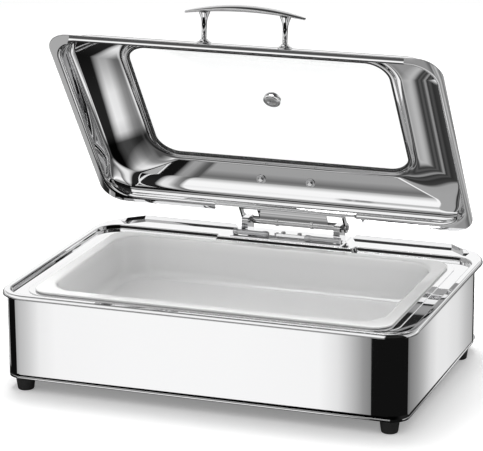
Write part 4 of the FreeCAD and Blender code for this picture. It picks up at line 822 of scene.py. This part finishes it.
@dataclass
class Pans:
    """Porcelain food pan over the steel water pan."""

    palette: Palette
    rim_wide: float = 20 * MM
    rim_thick: float = 4 * MM
    wall: float = 4.5 * MM
    taper: float = 9 * MM
    corner: float = 27 * MM
    floor_margin: float = 60 * MM
    water_corner: float = 50 * MM
    water_sheet: float = 1 * MM
    water_taper: float = 5 * MM
    water_gap: float = 2.2 * MM
    flange_corner: float = 35 * MM

    def build(self) -> None:
        """Builds both pans."""
        self.food_pan()
        self.water_pan()

    @staticmethod
    def edge(inset: float, radius: float, z: float) -> Outline:
        """Outline at an inset from the food pan's rim."""
        low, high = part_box("food_pan")
        return Outline(high.x - inset, low.y + inset, high.y - inset, radius, radius, z)

    def food_pan(self) -> None:
        """Glazed pan with a broad soft rim and drawn-in walls."""
        low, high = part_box("food_pan")
        bottom, top = low.z, high.z
        edge = self.edge
        seat = top - self.rim_thick
        mouth = self.rim_wide
        foot = mouth + self.taper
        outside = mouth - self.wall
        middle = foot + self.floor_margin
        radius = self.corner + self.rim_wide
        inner, outer = radius - self.wall, radius + self.wall
        keys = [
            (edge(0, self.corner, seat), 1.6),
            (edge(0, self.corner, top - 0.2 * MM), 2.2),
            (edge(9 * MM, self.corner + 5 * MM, top), 4.0),
            (edge(mouth - 1 * MM, inner, top - 0.4 * MM), 3.2),
            (edge(foot, inner, bottom + self.wall), 13),
            (edge(middle, 18 * MM, bottom + self.wall - 0.3 * MM), 0.0),
            (edge(middle, 18 * MM, bottom), 0.0),
            (edge(foot - self.wall, radius, bottom), 14),
            (edge(outside, outer, seat - 1 * MM), 0.6),
            (edge(outside - 0.6 * MM, outer, seat), 0.0),
        ]
        piece = outline_skin("glazed_food_pan", keys, steps=8, floor=bottom)
        self.palette.fit(piece, Slot.PORCELAIN, Body.PAN, "food_pan")

    def water_pan(self) -> None:
        """Deep-drawn steel bath; its flange lies on the ledge."""
        low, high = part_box("water_pan")
        bottom, top = low.z, high.z
        edge = self.edge
        sheet = self.water_sheet
        side = self.rim_wide - self.wall - self.water_gap - sheet
        foot = side + self.water_taper
        middle = foot + self.floor_margin
        outer, inner = self.water_corner, self.water_corner - sheet
        flange = Outline(high.x, low.y, high.y, self.flange_corner, self.flange_corner, top)
        keys = [
            (replace(flange, z=top - sheet), 0.3),
            (flange, 0.4),
            (edge(side + sheet, inner, top), 2),
            (edge(foot + sheet, inner, bottom + sheet), 9),
            (edge(middle, 20 * MM, bottom + sheet), 0.0),
            (edge(middle, 20 * MM, bottom), 0.0),
            (edge(foot, outer, bottom), 10),
            (edge(side, outer, top - sheet), 0.4),
        ]
        piece = outline_skin("drawn_water_pan", keys, floor=bottom)
        self.palette.fit(piece, Slot.MIRROR, Body.CASE, "water_pan")


# The lid


@dataclass
class Lid:
    """Pressed lid with its window, vent and handle, built shut and swung open."""

    palette: Palette
    case: Case
    sheet: float = 1.2 * MM
    rim_gap: float = 1 * MM
    seat_gap: float = 0.3 * MM
    rim_wide: float = 10.5 * MM
    corner: float = 35 * MM
    dome_corner: float = 42 * MM
    rise: float = 14 * MM
    draft: float = 1.5 * MM
    height: float = 44 * MM
    side_rise: float = 27 * MM
    side_draft: float = 4 * MM
    front_wide: float = 4 * MM
    front_crease: float = 24.5 * MM
    window_side: float = 93.5 * MM
    window_front: float = 58 * MM
    window_rear: float = 74 * MM
    window_corner: float = 36 * MM
    land: float = 9 * MM
    roll_wide: float = 5 * MM
    roll_deep: float = 2.4 * MM
    seal: float = 1.5 * MM
    seal_lip: float = 2.6 * MM
    glass: float = 4 * MM
    ground: float = 0.4 * MM
    lap: float = 7 * MM
    crown: float = 14 * MM
    post_spacing: float = 121 * MM
    post_r: float = 3.6 * MM
    post_head: float = 8.3 * MM
    post_length: float = 45.5 * MM
    post_tilt: float = math.radians(40)
    post_up: float = 14 * MM
    grip_length: float = 178 * MM
    grip_wide: float = 24 * MM
    grip_thick: float = 9 * MM
    grip_bow: float = 9 * MM
    grip_sink: float = 1.3 * MM
    tip_wide: float = 9 * MM
    tip_thick: float = 3.5 * MM

    def __post_init__(self) -> None:
        """Works out the lid's place from the case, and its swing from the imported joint."""
        space = self.case.recess(-self.rim_gap, self.case.ledge)
        self.half_x = space.half_x
        self.front = space.front
        self.rear = space.rear
        self.low = self.case.ledge + self.seat_gap
        self.top = self.low + self.height
        self.window_half = self.half_x - self.window_side
        self.window_y0 = self.front + self.window_front
        self.window_y1 = self.rear - self.window_rear
        self.window_y = (self.window_y0 + self.window_y1) / 2
        joint = next(j for j in frame["joints"] if j["name"] == "lid_hinge")
        pivot = Vector(joint["pos_m"])
        turn = Matrix.Rotation(math.radians(joint["range_deg"][0]), 4, "X")
        self.swing = Matrix.Translation(pivot) @ turn @ Matrix.Translation(-pivot)

    def fit(self, piece: Piece, node: str, slot: Slot = Slot.MIRROR) -> None:
        """Swings a piece that was built shut to the open lid, and fits it there.

        Args:
            piece: the piece.
            node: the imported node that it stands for.
            slot: its finish.
        """
        piece.data.transform(self.swing)
        self.palette.fit(piece, slot, Body.LID, node)

    def rim(self, inset: float, radius: float, z: float, notch: float = 0.0) -> Outline:
        """Outline of the lid at an inset from the rim's edge."""
        return Outline(self.half_x - inset, self.front + inset, self.rear - inset, radius, radius, z,
                       self.case.tongue_half + 2 * MM, notch)

    def window(self, grow: float, z: float) -> Outline:
        """Outline of the window opening, grown by a margin."""
        return Outline(self.window_half + grow, self.window_y0 - grow, self.window_y1 + grow,
                       self.window_corner + grow, self.window_corner + grow, z, self.case.tongue_half + 2 * MM)

    def build(self) -> None:
        """Builds the lid's pieces."""
        self.shell()
        self.window_glass()
        self.window_seal()
        self.vent()
        self.handle()
        self.grip()

    def shell(self) -> None:
        """Pressed shell: flat rim, steep foot, slopes and the frame round the window."""
        rim, line, window = self.rim, self.foot_line, self.window
        notch = self.rim_wide - 0.3 * MM
        foot = self.rim_wide
        shoulder = foot + self.draft
        sheet = self.sheet
        roll_low = self.top - sheet - self.roll_deep
        keys = [
            (rim(0, self.corner, self.low, notch), 0.5),
            (rim(0, self.corner, self.low + sheet, notch), 0.5),
            (line(foot, self.low + sheet), 4.6),
            (line(shoulder, self.low + self.rise), 6),
            (self.crease(0), 8),
            (window(self.land, self.top), 9),
            (window(0, self.top), 0.4),
            (window(0, roll_low), 1.2),
            (window(self.roll_wide, roll_low), 2.2),
            (window(self.roll_wide + 1 * MM, self.top - sheet), 1.4),
            (window(self.land + 2.4 * MM, self.top - sheet), 5),
            (self.crease(sheet), 7),
            (line(shoulder, self.low + self.rise - sheet, sheet), 7),
            (line(foot, self.low, sheet), 6),
        ]
        self.fit(outline_skin("lid_pressing", keys, steps=8), "lid_shell")

    def foot_line(self, inset: float, z: float, inner: float = 0.0) -> Outline:
        """Outline of the foot and the shoulder, set back in front, where the flat rim is broader.

        Args:
            inset: how far it runs inside the rim's edge.
            z: its height.
            inner: how much further in its inner face runs.

        Returns:
            The outline.
        """
        line = self.rim(inset + inner, self.dome_corner - inner, z)
        return replace(line, front=line.front + self.front_wide)

    def crease(self, sheet: float) -> Outline:
        """Outline at the crease of the taller left, right and front sides.

        Args:
            sheet: how far inside the outer face it runs.

        Returns:
            The outline; behind it lies on the plain slope.
        """
        lower = self.foot_line(self.rim_wide + self.draft, self.low + self.rise).vector()
        upper = self.window(self.land, self.top).vector()
        level = Outline(*lower.lerp(upper, (self.side_rise - self.rise) / (self.height - self.rise)))
        edge = replace(level, half_x=self.half_x - self.rim_wide - self.side_draft,
                       front=self.front + self.front_crease)
        return edge.drawn_in(sheet, edge.z - sheet)

    def window_glass(self) -> None:
        """Crowned pane with a flat border and ground edges."""
        bottom = self.top + self.seal
        top = bottom + self.glass
        full = self.window_y1 - self.window_y
        middle = self.window_half * 0.02
        steps = 12
        last_ring, last_corner, fullness = 0.86, 0.8, 2.6

        def crowned(z: float, inward: float) -> Outline:
            """Outline on the crown: inward 0 is the window's edge, 1 the middle."""
            size = 1 - inward * last_ring
            corner = self.window_corner * (1 - inward * last_ring * last_corner)
            return Outline(self.window_half * size, self.window_y - full * size, self.window_y + full * size,
                           corner, corner, z + self.crown * (1 - (1 - inward) ** fullness), middle)

        upper = [crowned(top, k / steps) for k in range(1, steps + 1)]
        lower = [crowned(bottom, k / steps) for k in range(steps, 0, -1)]
        ground = self.ground
        border = [replace(self.window(grow, z), tongue_half=middle) for grow, z in (
            (0, bottom), (self.lap - ground, bottom), (self.lap, bottom + ground), (self.lap, top - ground),
            (self.lap - ground, top), (0, top))]
        loops = [line.points() for line in lower + border + upper]
        self.fit(mesh_of("window_pane", loops, ring=False), "lid_glass", Slot.GLASS)

    def window_seal(self) -> None:
        """Flat rubber ring between the pane and the frame, with an inner lip over the frame's edge."""
        high = self.top + self.seal
        low = self.top - self.sheet - self.roll_deep - 0.2 * MM
        keys = [(self.window(grow, z), rounding) for grow, z, rounding in (
            (self.lap, self.top, 0.3), (self.lap, high, 0.3), (-self.seal_lip, high, 0.6),
            (-self.seal_lip, low, 0.5), (-0.1 * MM, low, 0.3), (-0.1 * MM, self.top, 0.2))]
        self.fit(outline_skin("window_seal_ring", keys), "glass_seal", Slot.SEAL)

    def vent(self) -> None:
        """Vent: a domed cap outside and a round nut inside, with a bore through both."""
        inside = Vector((0, self.window_y, self.top + self.seal + self.crown))
        cap = metres((2.5, -4, 0), (5.8, -4, 0), (5.8, 0, 0), (12.5, 0, 0.5), (12.5, 2.6, 0.8), (9.6, 3.4, 0.5),
                     (8.6, 7, 1.6), (2.5, 7, 0.4))
        nut = metres((2.5, 0, 0), (2.5, -2.2, 0.4), (5.2, -2.2, 0.3), (6.4, -3.0, 0.5), (9.5, -3.0, 0.6),
                     (10.5, -1.9, 0.5), (13, -1.7, 0.6), (13, 0, 0.3))
        self.fit(turned("vent_cap_turned", cap, inside + UP * self.glass, UP), "vent_cap")
        self.fit(turned("vent_nut_turned", nut, inside, UP), "vent_nut")

    def post_foot(self, x: float) -> tuple[Vector, Vector]:
        """Where a handle post meets the front slope.

        Args:
            x: the post's place from left to right.

        Returns:
            The point and the post's direction.
        """
        start = Vector((x, self.front + self.rim_wide + self.draft, self.low + self.rise))
        end = Vector((x, self.window_y0 - self.land, self.top))
        post = Vector((0, -math.cos(self.post_tilt), math.sin(self.post_tilt)))
        return start + (end - start).normalized() * self.post_up, post

    def handle(self) -> None:
        """Two slim posts that stand in base cups."""
        length = self.post_length + 1.0 * MM
        profile = [(self.post_r, 0.2 * MM, 0.0), (self.post_r, length - 13 * MM, 6 * MM),
                   (self.post_head, length - 1 * MM, 1.5 * MM), (self.post_head, length, 0.0)]
        cup = metres((10.4, 0.1), (10.5, 1.6), (10.2, 2.3), (8.6, 3.3), (6.6, 4.2), (5.9, 5.3), (5.9, 6.0),
                     (5.4, 6.4), (3.8, 6.5))
        cups: list[Piece] = []
        posts: list[Piece] = []
        for side in (-1, 1):
            foot, post = self.post_foot(side * self.post_spacing / 2)
            cups.append(mesh_of("cup", circles(cup, foot, post, Vector((1, 0, 0)), 40), ring=False))
            posts.append(turned("post", profile, foot, post, ring=False))
        self.fit(joined("handle_base_cups", cups), "handle_cups")
        self.fit(joined("handle_post_pair", posts), "handle_posts")

    def grip(self) -> None:
        """Bowed blade with a lens section and drawn-in tips."""
        foot, post = self.post_foot(0)
        across = Vector((0, math.sin(self.post_tilt), math.cos(self.post_tilt)))
        middle = foot + post * (self.post_length + self.grip_thick / 2 - self.grip_sink)
        half = self.grip_length / 2
        level = (self.post_spacing / self.grip_length) ** 2
        count, stations = 48, 40
        tip_reach, tip_size, flatness = 0.006, 0.35, 0.25
        turns = [2 * math.pi * k / count for k in range(count)]
        tip = [(-1 + tip_reach * (1 - share), share) for share in (0.0, 0.35, 0.62, 0.82, 0.94)]
        inner = [(-1 + 2 * k / stations, 1.0) for k in range(1, stations)]
        loops: list[list[Vector]] = []
        for t, share in tip + inner + [(-t, share) for t, share in reversed(tip)]:
            size = (tip_size + (1 - tip_size) * math.sqrt(1 - (1 - share) ** 2)) / 2
            wide = (self.grip_wide - (self.grip_wide - self.tip_wide) * abs(t) ** 3) * size
            thick = (self.grip_thick - (self.grip_thick - self.tip_thick) * t * t) * size
            centre = middle + Vector((t * half, 0, 0)) + post * (self.grip_bow * (level - t * t))
            loops.append([centre + across * (wide * math.cos(a))
                          + post * (thick * math.sin(a) * abs(math.sin(a)) ** flatness) for a in turns])
        self.fit(mesh_of("handle_blade", loops, ring=False), "handle_grip")


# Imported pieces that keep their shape


EASE_STEPS = 3
EASE_ANGLE = math.radians(40)
EASED_EDGES = {
    "hinge_plate": 0.4, "hinge_clamp": 0.4, "hinge_tower_left": 0.7, "hinge_tower_right": 0.7,
    "hinge_bracket": 0.4, "switch_housing": 0.3, "switch_rocker": 0.3, "power_inlet": 0.4,
    "terminal_block": 0.5, "thermostat": 0.6, "control_knob": 0.4,
}


def dress_packed_nodes(palette: Palette) -> None:
    """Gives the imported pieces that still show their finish, and eases the edges of the machined ones."""
    for part in frame["record"]["subparts"]:
        node = frame["nodes"][part["node"]]
        if node.hide_render:
            continue
        palette.dress(node, Slot(part["material_slot"]))
        width = EASED_EDGES.get(part["node"])
        if width:
            ease = node.modifiers.new("eased_edges", "BEVEL")
            ease.width = width * MM
            ease.segments = EASE_STEPS
            ease.limit_method = "ANGLE"
            ease.angle_limit = EASE_ANGLE
            keep_flats(node)
        log.info("%s: %s", part["node"], part["material_slot"])


# The studio: what the steel mirrors, as (place, tone) stops


# The paper on the floor, along the skirt from its front left corner to its rear right one, holds painted reflections
# for the skirt's steel. A corner's places are degrees and a side's are millimetres.
PAPER_LEFT_CORNER = ((-42, 0.004), (-30, 0.004), (-11, 0.004), (-10.5, 0.42), (-5, 0.46), (0, 0.52))
PAPER_FRONT = ((-258, 0.66), (-240, 0.9), (-215, 0.98), (-100, 1.0), (60, 1.0), (175, 0.98), (202, 0.82),
               (224, 0.52), (238, 0.32), (249, 0.23), (249.4, 0.006))
PAPER_RIGHT_CORNER = (*((turn, 0.006) for turn in (0, 8, 16, 24, 32, 40, 48, 56, 64, 73)), (73.4, 0.18), (90, 0.23))
PAPER_SIDE = ((-175, 0.26), (-150, 0.34), (-124, 0.46), (-85, 0.7), (-49, 0.84), (0, 0.84), (60, 0.76),
              (110, 0.55), (149, 0.42))
PAPER_REAR_CORNER = ((89.8, 0.42), (90.4, 0.3), (91, 0.01), (104, 0.01), (112, 0.01))

# The screens, by millimetres: for the lid's rear slope, down and across its left side, its right slope and its
# right rim, then for the hinge bracket and for the lid's front rim.
# These streaks are painted reflections: the open lid's steel mirrors them from above, in place of what lies below
# it.
REAR_STREAKS = ((-210, 0.38), (-90, 0.36), (-60, 0.16), (-30, 0.42), (0, 0.7), (16, 1.0), (35, 1.0), (60, 0.4),
                (85, 0.08), (120, 0.08), (140, 0.3), (148.5, 0.45), (149.5, 0.12), (151, 0.5), (152, 0.2),
                (153.5, 0.6), (154.5, 0.1), (155.5, 0.5))
LEFT_DOWN = ((-120, 0.36), (-40, 0.32), (-10, 0.5), (30, 0.85), (75, 0.9), (95, 0.7), (104, 0.3), (110, 0.06),
             (150, 0.05))
LEFT_ACROSS = ((-285, 0.02), (-268, 0.02), (-262, 0.6), (-256, 1.0), (-246, 0.95), (-239, 0.6), (-233, 0.34),
               (-226, 0.25), (-218, 0.4))
SLOPE_STREAKS = ((-80, 0.38), (-60, 0.36), (-52, 0.05), (-41, 0.03), (-36, 0.08), (-29, 0.03), (-27, 0.25),
                 (-24, 0.3), (-21, 0.1), (-17, 0.04), (-12, 0.1), (-7, 0.04), (-3, 0.1), (2, 0.3), (9, 0.48),
                 (14, 0.5), (22, 0.42), (40, 0.3))
RIGHT_RIM_STREAKS = ((212, 0.3), (219, 0.12), (222, 0.45), (224, 0.25), (227, 0.6), (229, 0.36), (232, 0.15),
                     (235, 0.42), (240, 0.38))
HINGE_STREAKS = ((176, 0.4), (184, 0.45), (185.5, 0.2), (187, 0.5), (189, 0.42), (190.5, 0.65), (192, 0.3),
                 (194, 0.5), (197, 0.15), (200, 0.15))
FRONT_RIM_STREAKS = ((-52, 0.07), (-46.2, 0.1), (-45.4, 1.0), (-43.2, 1.0), (-42.4, 0.04), (-14, 0.04))

# The room: by the turn about +Z as a share of a full turn, 0.5 being the front, and by the climb as a share of a
# right angle.
ROOM_BACK = ((0.0, 1.0), (0.2, 1.0), (0.27, 0.0), (0.72, 0.0), (0.76, 1.0))
ROOM_FLAG = ((0.50, 1.0), (0.515, 0.02), (0.72, 0.02), (0.735, 1.0))
ROOM_BANK = ((0.0, 0.3), (0.085, 0.35), (0.1, 0.3), (0.113, 0.02), (0.164, 0.02), (0.175, 0.9), (0.52, 1.0),
             (0.58, 0.5), (0.66, 0.5), (0.74, 0.45), (0.78, 0.02))
ROOM_BEHIND = ((0.0, 0.6), (0.02, 0.5), (0.115, 0.5), (0.14, 1.0), (0.205, 1.0), (0.24, 0.55), (0.4, 0.5),
               (0.5, 0.05))

# The floor: by metres outwards from the case, and by twice the metres from front to back, 0.5 being 0.25 m in front.
# In the steel, the dark close to the case is a painted contact shadow, and the dark far out and in front is a
# painted reflection: a thin dark line under the lip.
FLOOR_OUT = ((0.0, 0.01), (0.035, 0.02), (0.045, 0.42), (0.5, 0.42), (0.6, 0.06))
FLOOR_BACK = ((0.48, 0.06), (0.56, 1.0))


@dataclass
class Studio:
    """Camera, lamps, floor and the surroundings that the steel mirrors."""

    azimuth: float = math.radians(20.0188)
    elevation: float = math.radians(16.0602)
    roll: float = math.radians(-0.3972)
    distance: float = 3.56849
    focal_pixels: float = 2476.93
    image: tuple[int, int] = (483, 451)
    aim: tuple[float, float, float] = (0.0, -0.0245, 0.146)
    aim_pixel: tuple[float, float] = (243.4565, 275.5926)
    sensor: float = 36.0
    floor_half: float = 6.0
    floor_lift: float = 0.23
    through_lift: float = 1.12
    ambient: float = 0.69
    # Inside paper_near, the skirt's hem mirrors the floor's painted contact shadow; past paper_far, its top mirrors
    # a painted dark line under the lip.
    paper_near: float = 71 * MM
    paper_far: float = 475 * MM
    paper_z: float = 0.8 * MM

    def build(self, case: Case) -> None:
        """Sets the whole stage round the case."""
        eye = self.camera()
        self.floor()
        self.paper(case.skirt_line(0.0, 0.0), eye)
        self.screens()
        self.surroundings()
        self.lamps()
        bpy.context.scene.view_settings.view_transform = "Standard"

    def camera(self) -> Vector:
        """Camera at the photograph's viewing angle.

        Returns:
            Where it stands.
        """
        az, el = self.azimuth, self.elevation
        ahead = Vector((-math.sin(az) * math.cos(el), math.cos(az) * math.cos(el), -math.sin(el)))
        right = ahead.cross(UP).normalized()
        up = right.cross(ahead)
        level = right * math.cos(self.roll) + up * math.sin(self.roll)
        tall = up * math.cos(self.roll) - right * math.sin(self.roll)
        wide, high = self.image
        off_x = (self.aim_pixel[0] - wide / 2) / self.focal_pixels * self.distance
        off_y = -(self.aim_pixel[1] - high / 2) / self.focal_pixels * self.distance
        eye = Vector(self.aim) - ahead * self.distance - level * off_x - tall * off_y
        data = bpy.data.cameras.new("camera")
        data.sensor_fit = "HORIZONTAL"
        data.sensor_width = self.sensor
        data.lens = self.focal_pixels / wide * self.sensor
        data.clip_start = 0.05
        data.clip_end = 60
        made = placed("camera", data)
        made.matrix_world = Matrix((
            (level.x, tall.x, -ahead.x, eye.x), (level.y, tall.y, -ahead.y, eye.y),
            (level.z, tall.z, -ahead.z, eye.z), (0, 0, 0, 1)))
        bpy.context.scene.camera = made
        return eye

    @staticmethod
    def level_sheet(name: str, left: float, right: float, near: float, far: float, z: float) -> bpy.types.Mesh:
        """Level rectangle that faces up."""
        mesh = bpy.data.meshes.new(name)
        mesh.from_pydata([(left, near, z), (right, near, z), (right, far, z), (left, far, z)], [], [(0, 1, 2, 3)])
        return mesh

    def floor(self) -> None:
        """White floor that keeps the object's shadow; the steel sees its own painted tones of it, with a painted
        contact shadow close to the case.
        """
        half = self.floor_half
        mesh = self.level_sheet("floor", -half, half, -half, half, 0)
        placed("floor", mesh)
        material = bpy.data.materials.new("studio_floor")
        graph = Graph.of(material)
        path = graph.node("ShaderNodeLightPath")
        seen = graph.node("ShaderNodeAddShader")
        graph.feed(seen.inputs[0], graph.node("ShaderNodeBsdfDiffuse", Color=(0.9, 0.9, 0.9, 1)).outputs[0])
        graph.feed(seen.inputs[1], graph.glow(self.floor_lift))
        mirrored = graph.glow(self.mirrored_floor_with_painted_shadow(graph))
        shown = graph.mix(Mix.SHADER, path.outputs["Is Glossy Ray"], seen.outputs[0], mirrored)
        through = graph.glow(self.through_lift)
        graph.put_out(graph.mix(Mix.SHADER, path.outputs["Is Transmission Ray"], shown, through))
        mesh.materials.append(material)

    @staticmethod
    def mirrored_floor_with_painted_shadow(graph: Graph) -> Socket:
        """Tone of the floor in the steel: dark close to the case as a painted contact shadow, grey around it, and
        dark far out and in front as a painted reflection, which the skirt shows as a thin dark line under the lip.
        """
        x, y, _ = graph.axes()
        half_wide, half_deep = 0.34, 0.26
        beside = graph.math("SUBTRACT", graph.math("ABSOLUTE", x), half_wide)
        beyond = graph.math("SUBTRACT", graph.math("ABSOLUTE", y), half_deep)
        # Painted contact shadow: near black within a few centimetres of the case.
        ground = graph.ramp(graph.math("MAXIMUM", beside, beyond), FLOOR_OUT)
        front = graph.math("MULTIPLY_ADD", y, 2.0, 1.0)
        return graph.math("MULTIPLY", ground, graph.ramp(front, FLOOR_BACK))

    def paper(self, skirt: Outline, eye: Vector) -> None:
        """Graded paper of painted reflections on the floor round the front and the right, seen by the steel alone;
        it is laid by mirroring the camera's view about the skirt, so that each tone lands on its place in the skirt.

        Args:
            skirt: the skirt's outline, which the paper follows.
            eye: where the camera stands.
        """
        front_r, rear_r = skirt.front_r, skirt.rear_r
        left = Vector((front_r - skirt.half_x, skirt.front + front_r))
        right = Vector((skirt.half_x - front_r, skirt.front + front_r))
        rear = Vector((skirt.half_x - rear_r, skirt.rear - rear_r))
        spots = [(left, front_r, turn, tone) for turn, tone in PAPER_LEFT_CORNER]
        spots += [(Vector((x * MM, skirt.front)), 0.0, 0, tone) for x, tone in PAPER_FRONT]
        spots += [(right, front_r, turn, tone) for turn, tone in PAPER_RIGHT_CORNER]
        spots += [(Vector((skirt.half_x, y * MM)), 0.0, 90, tone) for y, tone in PAPER_SIDE]
        spots += [(rear, rear_r, turn, tone) for turn, tone in PAPER_REAR_CORNER]
        verts: list[tuple[float, float, float]] = []
        for centre, radius, turn, _ in spots:
            normal = Vector((math.sin(math.radians(turn)), -math.cos(math.radians(turn))))
            foot = centre + normal * radius
            way = (foot - eye.xy).normalized()
            way -= normal * (2 * way.dot(normal))
            verts += [(*(foot + way * reach), self.paper_z) for reach in (self.paper_near, self.paper_far)]
        faces = [(2 * i, 2 * i + 1, 2 * i + 3, 2 * i + 2) for i in range(len(spots) - 1)]
        mesh = bpy.data.meshes.new("graded_paper_painted_reflections")
        mesh.from_pydata(verts, [], faces)
        layer = mesh.color_attributes.new("tone", "FLOAT_COLOR", "POINT")
        for i, entry in enumerate(layer.data):
            tone = spots[i // 2][3]
            entry.color = (tone, tone, tone, 1)
        material = bpy.data.materials.new("painted_reflection_card_tone")
        graph = Graph.of(material)
        tone = graph.node("ShaderNodeAttribute", {"attribute_name": "tone"}).outputs["Color"]
        graph.put_out(graph.node("ShaderNodeEmission", Color=tone, Strength=1.0).outputs[0])
        mesh.materials.append(material)
        self.show_to_steel(placed("graded_paper_painted_reflections", mesh))

    def screens(self) -> None:
        """Screens of painted reflections over the pan, over the hinge plate and under the lid's front rim, for the
        open lid's steel alone.

        They show from above only. Each has its edges, its height and its streaks from front to back; the one over
        the pan has a tone of its own.
        """
        # Each screen is a sheet of painted reflections for the open lid's steel.
        for name, left, right, near, far, level, streaks in (
                ("pan_screen_painted_reflection", -0.292, 0.292, -0.206, 0.157, 0.1532, None),
                ("hinge_screen_painted_reflection", -0.06, 0.06, 0.176, 0.2, 0.1515, HINGE_STREAKS),
                ("rim_screen_painted_reflection", -0.265, 0.236, -0.052, -0.014, 0.462, FRONT_RIM_STREAKS)):
            mesh = self.level_sheet(name, left, right, near, far, level)
            material = bpy.data.materials.new(name + "_tone")
            graph = Graph.of(material)
            x, y, _ = graph.axes()
            tone = graph.bands(y, streaks) if streaks else self.pan_tone(graph, x, y)
            below = graph.node("ShaderNodeNewGeometry").outputs["Backfacing"]
            clear = graph.node("ShaderNodeBsdfTransparent").outputs[0]
            graph.put_out(graph.mix(Mix.SHADER, below, graph.glow(tone), clear))
            mesh.materials.append(material)
            self.show_to_steel(placed(name, mesh))

    @staticmethod
    def pan_tone(graph: Graph, x: Socket, y: Socket) -> Socket:
        """Painted reflection tone of the screen over the pan.

        Args:
            graph: the material's tree.
            x: the place from left to right.
            y: the place from front to back.

        Returns:
            Streaks for the lid's rear slope, its left side, its right slope and its right rim.
        """
        left = graph.math("MULTIPLY", graph.bands(y, LEFT_DOWN), graph.bands(x, LEFT_ACROSS))
        slope = graph.bands(graph.math("SUBTRACT", y, x), SLOPE_STREAKS)
        rim_slant = -0.373
        beside = graph.math("MULTIPLY_ADD", y, rim_slant, x)
        rim = graph.bands(beside, RIGHT_RIM_STREAKS)
        on_slope = graph.math("MULTIPLY", graph.bands(y, ((34, 0.0), (40, 1.0))),
                              graph.bands(x, ((30, 0.0), (50, 1.0))))
        middle = graph.mix(Mix.TONE, on_slope, graph.bands(y, REAR_STREAKS), slope)
        middle = graph.mix(Mix.TONE, graph.bands(beside, ((192, 0.0), (200, 1.0))), middle, rim)
        return graph.mix(Mix.TONE, graph.bands(x, ((-226, 1.0), (-218, 0.0))), middle, left)

    @staticmethod
    def show_to_steel(card: Piece) -> None:
        """Leaves a card to mirror rays alone."""
        card.visible_camera = False
        card.visible_diffuse = False
        card.visible_transmission = False
        card.visible_shadow = False

    def surroundings(self) -> None:
        """White behind the object; the steel also mirrors a dark room with a white bank in front."""
        world = bpy.data.worlds.new("studio")
        bpy.context.scene.world = world
        graph = Graph.of(world)
        path = graph.node("ShaderNodeLightPath")
        steel = graph.math("MAXIMUM", path.outputs["Is Glossy Ray"], path.outputs["Is Transmission Ray"])
        mirrored, white, soft = (
            graph.node("ShaderNodeBackground", Color=colour, Strength=strength).outputs[0]
            for colour, strength in ((self.room_tone(graph), 1.0), (WHITE, 1.0), (WHITE, self.ambient)))
        shown = graph.mix(Mix.SHADER, steel, soft, mirrored)
        graph.put_out(graph.mix(Mix.SHADER, path.outputs["Is Camera Ray"], shown, white), "ShaderNodeOutputWorld")

    @staticmethod
    def room_tone(graph: Graph) -> Socket:
        """Tone of the room by direction: white low behind, a white bank in front, dark overhead and to one side."""
        x, y, z = graph.axes("Generated")
        turn = graph.math("ARCTAN2", x, graph.math("MULTIPLY", y, -1.0))
        turn = graph.math("MULTIPLY_ADD", turn, 0.5 / math.pi, 0.5)
        climb = graph.math("MULTIPLY", graph.math("ARCSINE", z), 2 / math.pi)
        front = graph.math("MULTIPLY", graph.ramp(climb, ROOM_BANK), graph.ramp(turn, ROOM_FLAG))
        return graph.mix(Mix.TONE, graph.ramp(turn, ROOM_BACK), front, graph.ramp(climb, ROOM_BEHIND))

    def lamps(self) -> None:
        """Soft key lamp from the upper left and behind, and a weak fill."""
        for name, place, size, power in (("key", (-0.3, 0.6, 2.2), 1.4, 44.0), ("fill", (1.2, -1.6, 1.8), 1.6, 4.0)):
            data = bpy.data.lights.new(name, "AREA")
            data.shape = "SQUARE"
            data.size = size
            data.energy = power
            lamp = placed(name, data)
            lamp.location = place
            lamp.rotation_mode = "QUATERNION"
            lamp.rotation_quaternion = (Vector(self.aim) - Vector(place)).to_track_quat("-Z", "Y")
            lamp.visible_glossy = False
            lamp.visible_camera = False


def main() -> None:
    """Builds the object and its stage, and reports each piece."""
    logging.basicConfig(level=logging.INFO, format="%(message)s")
    palette = Palette()
    case = Case(palette)
    case.build()
    Pans(palette).build()
    Lid(palette, case).build()
    dress_packed_nodes(palette)
    Studio().build(case)


if __name__ == "__main__":
    main()
